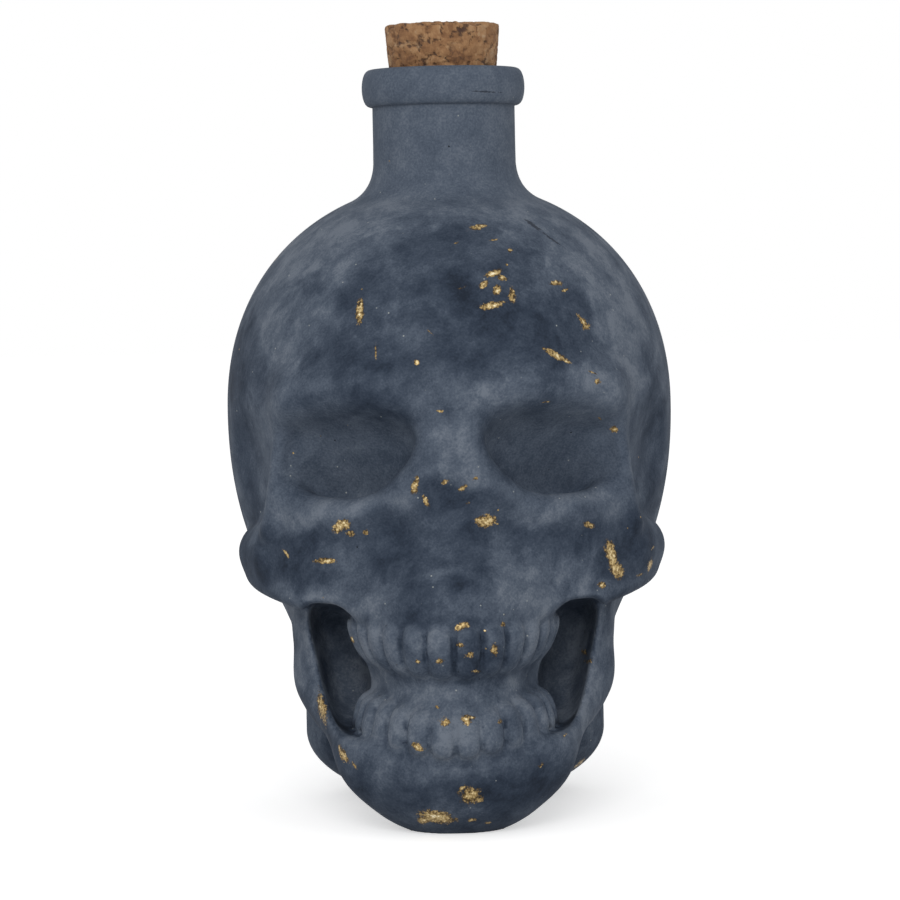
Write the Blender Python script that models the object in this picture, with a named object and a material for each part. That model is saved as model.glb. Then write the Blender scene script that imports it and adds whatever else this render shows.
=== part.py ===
"""Skull bottle: a hollow moulded glass skull with a round lip, closed by a tapered cork.

Metres, +Z up. The bottle stands on z = 0 with the neck's axis on the Z axis, and the face looks along -Y.
The skull is moulded from rounded lumps and hollows that melt into each other. Its skin is laid on a grid of
small cells, thinned to a light mesh, and joined to the turned lip, the bore and the hollow inside.
"""

import bmesh
import bpy
import numpy as np

# Skull: its width, depth and height make the box that the share tables below are measured in.
SKULL_WIDTH = 0.0834
SKULL_DEPTH = 0.1000
SKULL_HEIGHT = 0.1161
GLASS_WALL = 0.0036
GLASS_FLOOR = 0.0050

# Neck and lip
NECK_HEIGHT = 0.0209
NECK_DIAMETER = 0.0264
LIP_DIAMETER = 0.0302
LIP_HEIGHT = 0.0069
MOUTH_EDGE = 0.0005

# Cork, which tapers evenly from top to bottom
CORK_TOP_DIAMETER = 0.0214
CORK_BOTTOM_DIAMETER = 0.0180
CORK_LENGTH = 0.0200
CORK_SHOWING = 0.0082
CORK_EDGE = 0.0006
CORK_CLEARANCE = 0.0003

# Face
EYE_SPACING = 0.0401
EYE_WIDTH = 0.0252
EYE_HEIGHT = 0.0162
EYE_DEPTH = 0.0088
NOSE_WIDTH = 0.0160
CHEEK_SPAN = 0.0782
POCKET_WIDTH = 0.0101
POCKET_HEIGHT = 0.0228
POCKET_DEPTH = 0.0250

# Teeth: both rows stand on one rounded arch, and each tooth is a little narrower than the one before.
ARCH_WIDTH = 0.0342
ARCH_DEPTH = 0.0254
TEETH_PER_SIDE = 7
TOOTH_WIDTH = 0.0049
TOOTH_TAPER_SHARE = 0.03
UPPER_TOOTH_HEIGHT = 0.0082
LOWER_TOOTH_HEIGHT = 0.0084
UPPER_TOOTH_RELIEF = 0.0012
LOWER_TOOTH_RELIEF = 0.0008
UPPER_SIDE_RISE = 0.0004
LOWER_SIDE_RISE = 0.0022
ARCH_FLARE = 0.0009

# Jaw and stand
JAW_WIDTH = 0.0600
CHIN_WIDTH = 0.0400
STAND_WIDTH = 0.0568
STAND_DEPTH = 0.0380

# How softly neighbouring forms run into each other
BROAD_BLEND = 0.0080
SOFT_BLEND = 0.0050
FIRM_BLEND = 0.0025
CRISP_BLEND = 0.0012
TOOTH_BLEND = 0.0006
BELT_TOP_BLEND = 0.0035
ARCH_BLEND = 0.0060

# Lumps and hollows: centre, radii on its low side and on its high side, as shares of the half width, the
# half depth and the height
BRAINCASE_SHARES = ((0, 0.16, 0.637), (1, 0.82, 0.457), (1, 0.84, 0.363))
FOREHEAD_SHARES = ((0, -0.18, 0.655), (0.815, 0.632, 0.293), (0.815, 0.68, 0.31))
STAND_PLACE_SHARES = (0, 0.26, 0.108)
STAND_RISE_SHARES = (0.121, 1)
BRANCH_SHARES = ((0, -0.08, 0.345), (1, 0.46, 0.3), (1, 0.32, 1))
CHIN_SHARES = ((0, -0.56, 0.122), (1, 0.32, 0.136), (1, 0.33, 0.078))
BELLY_SHARES = ((0, -0.16, 0.121), (0.396, 0.48, 0.134), (0.396, 0.48, 0.134))
UPPER_JAW_SHARES = ((0, -0.44, 0.353), (0.446, 0.484, 0.129), (0.446, 0.484, 0.129))
NOSE_PAD_SHARES = ((0, -0.716, 0.508), (1, 0.116, 0.069), (1, 0.116, 0.069))
NOSE_RECESS_SHARES = ((0, -0.885, 0.508), (0.15, 0.06, 0.045), (0.15, 0.06, 0.045))
EYE_PLACE_SHARES = (0, -0.745, 0.563)
EYE_CORNER_SHARES = ((0.31, -0.79, 0.572), (0.15, 0.16, 0.052), (0.15, 0.16, 0.052))
TEMPLE_SHARES = ((1.007, -0.4, 0.568), (0.168, 0.24, 0.086), (0.168, 0.24, 0.086))
POCKET_PLACE_SHARES = (0.497, -0.68, 0.264)
BELT_SHARES = ((0, -0.1, 0), (0.97, 0.666, 0), (0.97, 0.22, 0))
ARCH_PLACE_SHARES = (0, -0.42, 0)
UPPER_HOLLOW_SHARES = ((0, 0.16, 0.637), (0.95, 0.8, 0.3), (0.95, 0.8, 0.36))
LOWER_HOLLOW_SHARES = ((0, 0.14, 0.28), (0.5, 0.4, 0.3), (0.5, 0.4, 0.26))

# Ridges: points in the same shares, each with the ridge's radius there as a share of the height
JAW_BODY_SHARES = ((0.341, -0.58, 0.125, 0.057), (0.547, -0.2, 0.215, 0.045))
CHEEK_RIDGE_SHARES = ((0.784, -0.34, 0.422, 0.046), (0.871, -0.18, 0.421, 0.043), (0.88, 0, 0.422, 0.036))
BROW_SHARES = ((0, -0.7, 0.676, 0.038), (0.336, -0.69, 0.686, 0.038), (0.635, -0.565, 0.663, 0.0275))
EYE_RIM_SHARES = ((0.679, -0.53, 0.65, 0.017), (0.734, -0.484, 0.568, 0.016), (0.767, -0.44, 0.465, 0.019))
NOSE_SHARES = ((0, -0.676, 0.663, 0.047), (0, -0.72, 0.551, 0.05))
NOSE_WING_SHARES = (
    (0.07, -0.795, 0.597, 0.012),
    (0.12, -0.785, 0.561, 0.013),
    (0.19, -0.762, 0.536, 0.013),
    (0.285, -0.709, 0.513, 0.013),
    (0.4, -0.672, 0.501, 0.012),
    (0.51, -0.62, 0.501, 0.012),
    (0.6, -0.545, 0.505, 0.011),
    (0.7, -0.48, 0.518, 0.01),
)

# Levels that cut or place forms, as shares of the height
STAND_TOP_SHARE = 0.396
BRANCH_TOP_SHARE = 0.379
CHEEK_TOP_SHARE = 0.573
CHEEK_FOOT_SHARE = 0.339
ARCH_TOP_SHARE = 0.349
ARCH_FOOT_SHARE = 0.129
UPPER_TEETH_SHARE = 0.281
LOWER_TEETH_SHARE = 0.166
BROW_LEVEL_SHARE = 0.55
NECK_START_SHARE = 0.78
NECK_FOOT_SHARE = 1.03
BORE_FOOT_SHARE = 0.99
HOLLOW_TOP_SHARE = 0.96

# Leans and falls, as shares of the way along, and parts of a form as shares of its own size
EYE_LEAN_SHARE = 0.42
CHEEK_TOP_FALL_SHARE = 0.28
CHEEK_FOOT_RISE_SHARE = 0.25
CHEEK_FOOT_START_SHARE = 0.69
POCKET_LEAN_SHARE = 0.22
POCKET_LOW_SHARES = (0.535, 1, 0.58)
POCKET_HIGH_SHARES = (0.465, 1, 0.42)
ARCH_FLARE_SHARES = (0.258, 0.327)
UPPER_TOOTH_LEAN_SHARE = 0.22
LOWER_TOOTH_LEAN_SHARE = -0.16
UPPER_SIDE_LOSS_SHARE = 0.1
LOWER_SIDE_LOSS_SHARE = 0.21
TOOTH_HALF_SHARE = 0.54
TOOTH_THICK_SHARE = 0.62

# Skin: the cell it is found on, the triangles kept of it, and the points of every turned or inner ring
NET_CELL = 0.0009
SKIN_TRIANGLES = 8600
RING_POINTS = 40
INNER_LEVELS = 16

FAR_OUT = SKULL_WIDTH + SKULL_DEPTH
BOTTLE_HEIGHT = SKULL_HEIGHT + NECK_HEIGHT


def spot(shares, width=SKULL_WIDTH):
    """A point or a size given as shares of the half width, half depth and height."""
    return np.array(shares) * np.array((width / 2, SKULL_DEPTH / 2, SKULL_HEIGHT))


# Forms: each takes points and gives how far outside its surface they lie.


def egg(points, centre, low, high, power=2.0, turn=0.0):
    """An ellipsoid whose radii may differ on the low and high side of each axis."""
    away = points - centre
    if turn:
        cos, sin = np.cos(np.radians(turn)), np.sin(np.radians(turn))
        across = away[:, 0] * cos + away[:, 1] * sin
        along = away[:, 1] * cos - away[:, 0] * sin
        away = np.stack((across, along, away[:, 2]), axis=1)
    radii = np.where(away < 0, low, high)
    ratio = np.abs(away / radii)
    size = (ratio**power).sum(axis=1) ** (1 / power)
    slope = np.sqrt(((ratio ** (power - 1) / radii) ** 2).sum(axis=1)) + 1 / FAR_OUT
    return (size - 1) * size ** (power - 1) / slope


def oval(points, centre, low, high, power=2.0):
    """An upright column with an oval plan."""
    tall = np.array((0, 0, FAR_OUT))
    return egg(points * (1, 1, 0), centre * (1, 1, 0), low + tall, high + tall, power)


def lump(points, table, power=2.0, width=SKULL_WIDTH, turn=0.0):
    """An egg from a table of shares."""
    centre, low, high = (spot(row, width) for row in table)
    return egg(points, centre, low, high, power, turn)


def ridge(points, table, width=SKULL_WIDTH):
    """A chain of round bars through the table's points."""
    form = None
    for first, last in zip(table, table[1:]):
        start, end = spot(first[:3], width), spot(last[:3], width)
        start_radius, end_radius = first[3] * SKULL_HEIGHT, last[3] * SKULL_HEIGHT
        run = end - start
        along = np.clip(((points - start) @ run) / (run @ run), 0, 1)
        bar = np.linalg.norm(points - start - along[:, None] * run, axis=1)
        bar -= start_radius + (end_radius - start_radius) * along
        form = bar if form is None else np.minimum(form, bar)
    return form


def melt(form, lump, blend):
    """Adds a lump to a form, with a fillet of the blend's size between them."""
    mix = np.clip(0.5 + 0.5 * (lump - form) / blend, 0, 1)
    return lump * (1 - mix) + form * mix - blend * mix * (1 - mix)


def press(form, hollow, blend):
    """Presses a hollow into a form, with a rounded rim of the blend's size."""
    return -melt(-form, hollow, blend)


def ease(values):
    """Runs from 0 to 1 with a soft start and end."""
    held = np.clip(values, 0, 1)
    return held * held * (3 - 2 * held)


def jaw(points):
    """The jaw's outer form: its branches beside the nape, its body, and the chin."""
    branches = lump(points, BRANCH_SHARES, 2.6, JAW_WIDTH)
    branches = np.maximum(branches, points[:, 2] - BRANCH_TOP_SHARE * SKULL_HEIGHT)
    form = melt(branches, lump(points, BELLY_SHARES), SOFT_BLEND)
    form = melt(form, lump(points, CHIN_SHARES, 2.0, CHIN_WIDTH), SOFT_BLEND)
    return melt(form, ridge(points, JAW_BODY_SHARES), SOFT_BLEND)


def stand(points):
    """The nape and the rounded foot below it, which the bottle rests on."""
    low, high = (
        np.array((STAND_WIDTH / 2, STAND_DEPTH / 2, share * SKULL_HEIGHT)) for share in STAND_RISE_SHARES
    )
    column = egg(points, spot(STAND_PLACE_SHARES), low, high)
    return np.maximum(column, points[:, 2] - STAND_TOP_SHARE * SKULL_HEIGHT)


def cheeks(points):
    """The belt of the face below the eyes, and the cheekbones at its sides."""
    side, level = points[:, 0], points[:, 2]
    belt = oval(points, *(spot(row, CHEEK_SPAN) for row in BELT_SHARES), 2.1)
    top = CHEEK_TOP_SHARE * SKULL_HEIGHT - side * CHEEK_TOP_FALL_SHARE
    past = np.maximum(side - CHEEK_SPAN / 2 * CHEEK_FOOT_START_SHARE, 0)
    foot = CHEEK_FOOT_SHARE * SKULL_HEIGHT + past * CHEEK_FOOT_RISE_SHARE
    belt = press(belt, top - level, BELT_TOP_BLEND)
    belt = press(belt, level - foot, FIRM_BLEND)
    return melt(belt, ridge(points, CHEEK_RIDGE_SHARES, CHEEK_SPAN), FIRM_BLEND)


def eye_hollow(points):
    """The shallow eye socket, deeper at its foot than under the brow."""
    centre = spot(EYE_PLACE_SHARES) + np.array((EYE_SPACING / 2, 0, 0))
    radii = np.array((EYE_WIDTH / 2, EYE_DEPTH, EYE_HEIGHT / 2))
    leaning = points.copy()
    leaning[:, 1] += (points[:, 2] - centre[2]) * EYE_LEAN_SHARE
    return egg(leaning, centre, radii, radii, 2.6, 20)


def cheek_pocket(points):
    """The deep pocket between the teeth and the jaw's branch, open to the front."""
    centre = spot(POCKET_PLACE_SHARES)
    size = np.array((POCKET_WIDTH, POCKET_DEPTH, POCKET_HEIGHT))
    leaning = points.copy()
    leaning[:, 0] += np.maximum(centre[2] - points[:, 2], 0) * POCKET_LEAN_SHARE
    return egg(leaning, centre, size * POCKET_LOW_SHARES, size * POCKET_HIGH_SHARES, 3.2)


def tooth_arch(points):
    """The curved wall that both rows of teeth stand on, a little wider towards the nose."""
    level = points[:, 2]
    radii = np.array((ARCH_WIDTH / 2 - UPPER_TOOTH_RELIEF, ARCH_DEPTH - UPPER_TOOTH_RELIEF, 0))
    flare_foot, flare_top = ARCH_FLARE_SHARES
    flare = ease((level / SKULL_HEIGHT - flare_foot) / (flare_top - flare_foot)) * ARCH_FLARE
    wall = oval(points, spot(ARCH_PLACE_SHARES), radii, radii) - flare
    wall = press(wall, ARCH_TOP_SHARE * SKULL_HEIGHT - level, ARCH_BLEND)
    return press(wall, level - ARCH_FOOT_SHARE * SKULL_HEIGHT, ARCH_BLEND)


def tooth_places():
    """Where each tooth of one side stands on the arch: its middle, the way out, its width and turn."""
    bend = np.linspace(0, np.pi / 2, 400)
    path = np.stack((ARCH_WIDTH / 2 * np.sin(bend), -ARCH_DEPTH * np.cos(bend)), axis=1)
    path += spot(ARCH_PLACE_SHARES)[:2]
    run = np.concatenate(([0], np.cumsum(np.linalg.norm(np.diff(path, axis=0), axis=1))))
    reached = 0
    for number in range(TEETH_PER_SIDE):
        width = TOOTH_WIDTH * (1 - TOOTH_TAPER_SHARE * number)
        here = min(np.searchsorted(run, reached + width / 2), len(path) - 2)
        tangent = path[here + 1] - path[here - 1]
        tangent /= np.linalg.norm(tangent)
        yield path[here], tangent, width, min(number / 4, 1)
        reached += width


def tooth_row(points, level, height, relief, rise, loss, lean):
    """A row of rounded teeth, half sunk in the arch. Towards the sides they stand higher and are shorter."""
    row = np.full(len(points), FAR_OUT)
    for place, tangent, width, side in tooth_places():
        outward = np.array((tangent[1], -tangent[0]))
        thick, half = width * TOOTH_THICK_SHARE, width * TOOTH_HALF_SHARE
        above = points[:, 2] - level - side * rise
        away = points[:, :2] - place + outward * (thick - relief) - outward * (lean * above[:, None])
        across = np.abs(away @ tangent) / half
        along = np.abs(away @ outward) / thick
        up = np.abs(above) * 2 / (height * (1 - side * loss))
        size = (across**2.6 + along**2.2 + up**2.6) ** 0.41
        row = np.minimum(row, (size - 1) * half)
    return row


def teeth(points):
    upper = tooth_row(
        points,
        UPPER_TEETH_SHARE * SKULL_HEIGHT,
        UPPER_TOOTH_HEIGHT,
        UPPER_TOOTH_RELIEF,
        UPPER_SIDE_RISE,
        UPPER_SIDE_LOSS_SHARE,
        UPPER_TOOTH_LEAN_SHARE,
    )
    lower = tooth_row(
        points,
        LOWER_TEETH_SHARE * SKULL_HEIGHT,
        LOWER_TOOTH_HEIGHT,
        LOWER_TOOTH_RELIEF,
        LOWER_SIDE_RISE,
        LOWER_SIDE_LOSS_SHARE,
        LOWER_TOOTH_LEAN_SHARE,
    )
    return np.minimum(upper, lower)


def skull_form(points, with_teeth=True):
    """The whole outside of the bottle below the lip, the same on both sides of the face's middle."""
    points = np.column_stack((np.abs(points[:, 0]), points[:, 1:]))
    form = lump(points, BRAINCASE_SHARES, 2.15)
    form = melt(form, lump(points, FOREHEAD_SHARES), BROAD_BLEND)
    form = melt(form, stand(points), BROAD_BLEND)
    form = melt(form, jaw(points), FIRM_BLEND)
    form = melt(form, cheeks(points), FIRM_BLEND)
    form = melt(form, lump(points, UPPER_JAW_SHARES), SOFT_BLEND)
    form = melt(form, ridge(points, BROW_SHARES), BROAD_BLEND)
    form = melt(form, ridge(points, EYE_RIM_SHARES), SOFT_BLEND)
    form = melt(form, ridge(points, NOSE_SHARES), SOFT_BLEND)
    brow_share = ease((points[:, 2] / SKULL_HEIGHT - BROW_LEVEL_SHARE) * SKULL_HEIGHT / BROAD_BLEND)
    form = press(form, eye_hollow(points), FIRM_BLEND + (BROAD_BLEND - FIRM_BLEND) * brow_share)
    form = press(form, lump(points, EYE_CORNER_SHARES, 2.2, SKULL_WIDTH, 15), SOFT_BLEND)
    form = melt(form, lump(points, NOSE_PAD_SHARES, 2.0, NOSE_WIDTH), SOFT_BLEND)
    form = press(form, lump(points, NOSE_RECESS_SHARES), FIRM_BLEND)
    form = melt(form, ridge(points, NOSE_WING_SHARES), SOFT_BLEND)
    form = press(form, lump(points, TEMPLE_SHARES), BROAD_BLEND)
    form = press(form, cheek_pocket(points), CRISP_BLEND)
    form = melt(form, tooth_arch(points), FIRM_BLEND)
    if with_teeth:
        form = melt(form, teeth(points), TOOTH_BLEND)
    neck = np.hypot(points[:, 0], points[:, 1]) - NECK_DIAMETER / 2
    neck = np.maximum(neck, NECK_START_SHARE * SKULL_HEIGHT - points[:, 2])
    return melt(form, neck, SOFT_BLEND)


def hollow_form(points):
    """The glass's inner face: two plain eggs, held everywhere at least a wall inside the skull."""
    core = melt(lump(points, UPPER_HOLLOW_SHARES), lump(points, LOWER_HOLLOW_SHARES), BROAD_BLEND)
    return np.maximum(core, skull_form(points, with_teeth=False) + GLASS_WALL)


# Skin: one point in every grid cell that the surface runs through


def grid_depths(low, counts):
    """The skull form at every corner of the grid. Far from the surface a coarse value is enough."""
    block = 4
    coarse = [low[axis] + NET_CELL * np.arange(0, counts[axis], block) for axis in range(3)]
    corners = np.stack(np.meshgrid(*coarse, indexing="ij"), axis=-1)
    rough = skull_form(corners.reshape(-1, 3)).reshape(corners.shape[:3])
    depths = rough
    for axis in range(3):
        depths = np.repeat(depths, block, axis=axis)
    depths = depths[: counts[0], : counts[1], : counts[2]]
    close = np.abs(depths) < NET_CELL * block * 2
    depths[close] = skull_form(low + NET_CELL * np.argwhere(close))
    return depths


def settle(points):
    """Moves points along the form's slope until they lie on its surface."""
    small = NET_CELL / 5
    for _ in range(2):
        depth = skull_form(points)
        slopes = [
            (skull_form(points + small * way) - skull_form(points - small * way)) / (2 * small)
            for way in np.identity(3)
        ]
        slope = np.stack(slopes, axis=1)
        move = slope * (depth / (slope * slope).sum(axis=1))[:, None]
        points = points - np.clip(move, -NET_CELL / 2, NET_CELL / 2)
    return points


def skull_skin():
    """Points and four-sided faces on the skull form, from below the floor to the neck's foot."""
    across = int(max(SKULL_WIDTH, CHEEK_SPAN, JAW_WIDTH, STAND_WIDTH) / 2 / NET_CELL) + 4
    along = int(SKULL_DEPTH / 2 / NET_CELL) + 4
    low = np.array((-across, -along, -4)) * NET_CELL
    high = np.array((across * NET_CELL, along * NET_CELL, SKULL_HEIGHT * NECK_FOOT_SHARE + NET_CELL * 3))
    counts = np.ceil((high - low) / NET_CELL).astype(int) + 1
    depths = grid_depths(low, counts)
    cells = counts - 1
    sums, hits = np.zeros((*cells, 3)), np.zeros(cells)
    names = np.arange(cells.prod()).reshape(cells)
    faces = []
    for axis, (first, second) in enumerate(((1, 2), (2, 0), (0, 1))):
        starts = np.take(depths, range(cells[axis]), axis=axis)
        ends = np.take(depths, range(1, counts[axis]), axis=axis)
        edges = np.argwhere((starts < 0) != (ends < 0))
        edges = edges[(edges[:, first] > 0) & (edges[:, second] > 0)]
        edges = edges[(edges[:, first] < cells[first]) & (edges[:, second] < cells[second])]
        start, end = starts[tuple(edges.T)], ends[tuple(edges.T)]
        crossing = low + NET_CELL * edges
        crossing[:, axis] += NET_CELL * start / (start - end)
        round_edge = []
        for back_first, back_second in ((0, 0), (1, 0), (1, 1), (0, 1)):
            cell = edges.copy()
            cell[:, first] -= back_first
            cell[:, second] -= back_second
            np.add.at(sums, tuple(cell.T), crossing)
            np.add.at(hits, tuple(cell.T), 1)
            round_edge.append(names[tuple(cell.T)])
        face = np.stack(round_edge, axis=1)
        face[start > 0] = face[start > 0][:, ::-1]
        faces.append(face)
    faces = np.concatenate(faces)
    used, corners = np.unique(faces, return_inverse=True)
    points = sums.reshape(-1, 3)[used] / hits.reshape(-1)[used][:, None]
    return settle(points), corners.reshape(faces.shape)


# Rings of points


def hollow_rings(levels):
    """One ring of points on the hollow's wall for each level, found by walking outwards."""
    angles = 2 * np.pi * np.arange(RING_POINTS) / RING_POINTS
    ways = np.stack((np.sin(angles), -np.cos(angles), np.zeros(RING_POINTS)), axis=1)
    middle = spot(LOWER_HOLLOW_SHARES[0])
    starts = np.repeat([(0, middle[1], level) for level in levels], RING_POINTS, axis=0)
    ways = np.tile(ways, (len(levels), 1))
    reach = np.zeros(len(starts))
    for _ in range(120):
        reach -= hollow_form(starts + ways * reach[:, None]) * 0.6
    return (starts + ways * reach[:, None]).reshape(len(levels), RING_POINTS, 3)


def turned_rings(profile):
    """Round rings from (radius, level) pairs."""
    angles = 2 * np.pi * np.arange(RING_POINTS) / RING_POINTS
    around = np.stack((np.sin(angles), -np.cos(angles)), axis=1)
    return [np.column_stack((radius * around, np.full(RING_POINTS, level))) for radius, level in profile]


def lip_profile():
    """The round bead of the lip, from its inner edge over the outside to the neck."""
    middle = BOTTLE_HEIGHT - LIP_HEIGHT / 2
    neck, bulge = NECK_DIAMETER / 2, (LIP_DIAMETER - NECK_DIAMETER) / 2
    bead = []
    for bend in np.linspace(np.pi / 2, -np.pi / 2, 9):
        out = max(np.cos(bend), 0) ** 0.7
        bead.append((neck + bulge * out, middle + LIP_HEIGHT / 2 * np.sin(bend)))
    return bead + [(neck, BOTTLE_HEIGHT - LIP_HEIGHT * 2)]


def cork_radius(depth):
    """The cork's radius at a depth below its top."""
    taper = (CORK_TOP_DIAMETER - CORK_BOTTOM_DIAMETER) / 2 / CORK_LENGTH
    return CORK_TOP_DIAMETER / 2 - taper * depth


def bore_profile():
    """The mouth and bore, which follow the cork's taper and then run straight to the hollow."""
    mouth = cork_radius(CORK_SHOWING) + CORK_CLEARANCE
    bore = cork_radius(CORK_LENGTH) + CORK_CLEARANCE
    cork_end = BOTTLE_HEIGHT + CORK_SHOWING - CORK_LENGTH
    return [
        (bore, SKULL_HEIGHT * BORE_FOOT_SHARE),
        (bore, cork_end),
        (mouth, BOTTLE_HEIGHT - MOUTH_EDGE),
        (mouth + MOUTH_EDGE, BOTTLE_HEIGHT),
    ]


# Meshes and objects


def add_rings(mesh, rings):
    """Adds rings of points and skins each to the next, and returns the first and last ring's edges."""
    rows = [[mesh.verts.new(point) for point in ring] for ring in rings]
    for upper, lower in zip(rows, rows[1:]):
        for here in range(len(upper)):
            after = (here + 1) % len(upper)
            mesh.faces.new((upper[here], lower[here], lower[after], upper[after]))
    return [[mesh.edges.get(pair) for pair in zip(row, row[1:] + row[:1])] for row in (rows[0], rows[-1])]


def thin_skin():
    """The skull's skin with fewer triangles, closer together where it bends more."""
    points, faces = skull_skin()
    data = bpy.data.meshes.new("skin")
    data.from_pydata(points.tolist(), [], faces.tolist())
    draft = bpy.data.objects.new("skin", data)
    bpy.context.scene.collection.objects.link(draft)
    thinning = draft.modifiers.new("thinning", "DECIMATE")
    thinning.ratio = SKIN_TRIANGLES / (2 * len(faces))
    thinning.use_symmetry = True
    thinning.symmetry_axis = "X"
    thinned = draft.evaluated_get(bpy.context.evaluated_depsgraph_get())
    mesh = bmesh.new()
    mesh.from_mesh(thinned.to_mesh())
    thinned.to_mesh_clear()
    bpy.data.objects.remove(draft)
    bpy.data.meshes.remove(data)
    return mesh


def cut_level(mesh, level, keep_above):
    """Cuts a mesh off at a level and returns the edges of the cut."""
    near = NET_CELL / 9
    for corner in mesh.verts:
        if abs(corner.co.z - level) < near:
            corner.co.z = level
    cut = bmesh.ops.bisect_plane(
        mesh,
        geom=mesh.verts[:] + mesh.edges[:] + mesh.faces[:],
        dist=near / 100,
        plane_co=(0, 0, level),
        plane_no=(0, 0, 1),
        clear_inner=keep_above,
        clear_outer=not keep_above,
    )
    return [item for item in cut["geom_cut"] if isinstance(item, bmesh.types.BMEdge)]


def finish_object(name, mesh, material, location):
    bmesh.ops.triangulate(mesh, faces=[face for face in mesh.faces if len(face.verts) > 4])
    bmesh.ops.recalc_face_normals(mesh, faces=mesh.faces[:])
    bmesh.ops.translate(mesh, verts=mesh.verts[:], vec=[-value for value in location])
    data = bpy.data.meshes.new(name)
    mesh.to_mesh(data)
    mesh.free()
    data.shade_smooth()
    data.set_sharp_from_angle(angle=np.radians(50))
    data.materials.append(material)
    made = bpy.data.objects.new(name, data)
    made.location = location
    bpy.context.scene.collection.objects.link(made)


def plain_material(name, colour, roughness):
    material = bpy.data.materials.new(name)
    material.use_nodes = True
    shader = material.node_tree.nodes["Principled BSDF"]
    shader.inputs["Base Color"].default_value = (*colour, 1)
    shader.inputs["Roughness"].default_value = roughness
    shader.inputs["Metallic"].default_value = 0
    return material


def make_bottle():
    mesh = thin_skin()
    foot = cut_level(mesh, 0, keep_above=True)
    bmesh.ops.contextual_create(mesh, geom=foot)
    shoulder = cut_level(mesh, SKULL_HEIGHT * NECK_FOOT_SHARE, keep_above=False)
    lip, neck = add_rings(mesh, turned_rings(lip_profile()))
    bmesh.ops.bridge_loops(mesh, edges=shoulder + neck)

    levels = np.linspace(GLASS_FLOOR, HOLLOW_TOP_SHARE * SKULL_HEIGHT, INNER_LEVELS)
    inside = list(hollow_rings(levels)) + turned_rings(bore_profile())
    hollow_floor, mouth = add_rings(mesh, inside)
    bmesh.ops.contextual_create(mesh, geom=hollow_floor)
    bmesh.ops.bridge_loops(mesh, edges=lip + mouth)

    coat = plain_material("slate_blue_coat", (0.07, 0.09, 0.13), 0.75)
    finish_object("glass_bottle", mesh, coat, (0, 0, 0))


def make_cork():
    """A tapered plug with a narrow chamfer at both ends, its origin on the neck's axis."""
    mesh = bmesh.new()
    top = BOTTLE_HEIGHT + CORK_SHOWING
    bottom = top - CORK_LENGTH
    profile = [
        (cork_radius(0) - CORK_EDGE, top),
        (cork_radius(CORK_EDGE), top - CORK_EDGE),
        (cork_radius(CORK_LENGTH - CORK_EDGE), bottom + CORK_EDGE),
        (cork_radius(CORK_LENGTH) - CORK_EDGE, bottom),
    ]
    for end in add_rings(mesh, turned_rings(profile)):
        bmesh.ops.contextual_create(mesh, geom=end)
    cork = plain_material("pressed_cork", (0.45, 0.25, 0.13), 0.9)
    finish_object("cork_stopper", mesh, cork, (0, 0, bottom))


for leftover in list(bpy.data.objects):
    bpy.data.objects.remove(leftover)
make_bottle()
make_cork()
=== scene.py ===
"""Skull bottle with its cork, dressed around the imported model. Metres, +Z up, the face looks along -Y."""

import bmesh
import bpy
import numpy as np
from mathutils import Matrix, Vector, noise


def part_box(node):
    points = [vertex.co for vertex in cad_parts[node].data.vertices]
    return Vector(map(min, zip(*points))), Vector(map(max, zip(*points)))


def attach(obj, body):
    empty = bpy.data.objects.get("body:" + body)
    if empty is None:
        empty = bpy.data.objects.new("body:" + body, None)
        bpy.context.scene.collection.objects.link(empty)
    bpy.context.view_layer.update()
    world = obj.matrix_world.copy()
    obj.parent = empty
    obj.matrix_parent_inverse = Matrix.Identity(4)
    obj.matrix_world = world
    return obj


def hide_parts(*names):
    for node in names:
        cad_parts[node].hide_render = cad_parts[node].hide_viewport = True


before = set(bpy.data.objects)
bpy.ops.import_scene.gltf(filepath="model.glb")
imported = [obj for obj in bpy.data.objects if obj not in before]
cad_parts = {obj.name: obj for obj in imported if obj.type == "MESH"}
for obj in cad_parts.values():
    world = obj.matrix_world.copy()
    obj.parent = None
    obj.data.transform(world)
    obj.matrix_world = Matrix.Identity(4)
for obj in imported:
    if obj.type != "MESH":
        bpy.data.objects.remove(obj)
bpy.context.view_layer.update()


# Glass bottle
# One moulded glass body: the skull, the straight neck and the rounded lip, hollow inside. A thin matte coat
# covers it, dusted in pale slate blue over near black, with small worn flecks of gold.

# Skull: its width, depth and height make the box that the share tables below are measured in.
SKULL_WIDTH = 0.0834
SKULL_DEPTH = 0.1000
SKULL_HEIGHT = 0.1161
GLASS_WALL = 0.0036
GLASS_FLOOR = 0.0050

# Neck and lip
NECK_HEIGHT = 0.0209
NECK_DIAMETER = 0.0264
LIP_DIAMETER = 0.0302
LIP_HEIGHT = 0.0069
MOUTH_EDGE = 0.0005

# Cork, which tapers evenly from top to bottom
CORK_TOP_DIAMETER = 0.0214
CORK_BOTTOM_DIAMETER = 0.0180
CORK_LENGTH = 0.0200
CORK_SHOWING = 0.0082
CORK_EDGE = 0.0006
CORK_CLEARANCE = 0.0003

# Face
EYE_SPACING = 0.0401
EYE_WIDTH = 0.0252
EYE_HEIGHT = 0.0162
EYE_DEPTH = 0.0088
NOSE_WIDTH = 0.0160
CHEEK_SPAN = 0.0782
POCKET_WIDTH = 0.0101
POCKET_HEIGHT = 0.0228
POCKET_DEPTH = 0.0250

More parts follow.
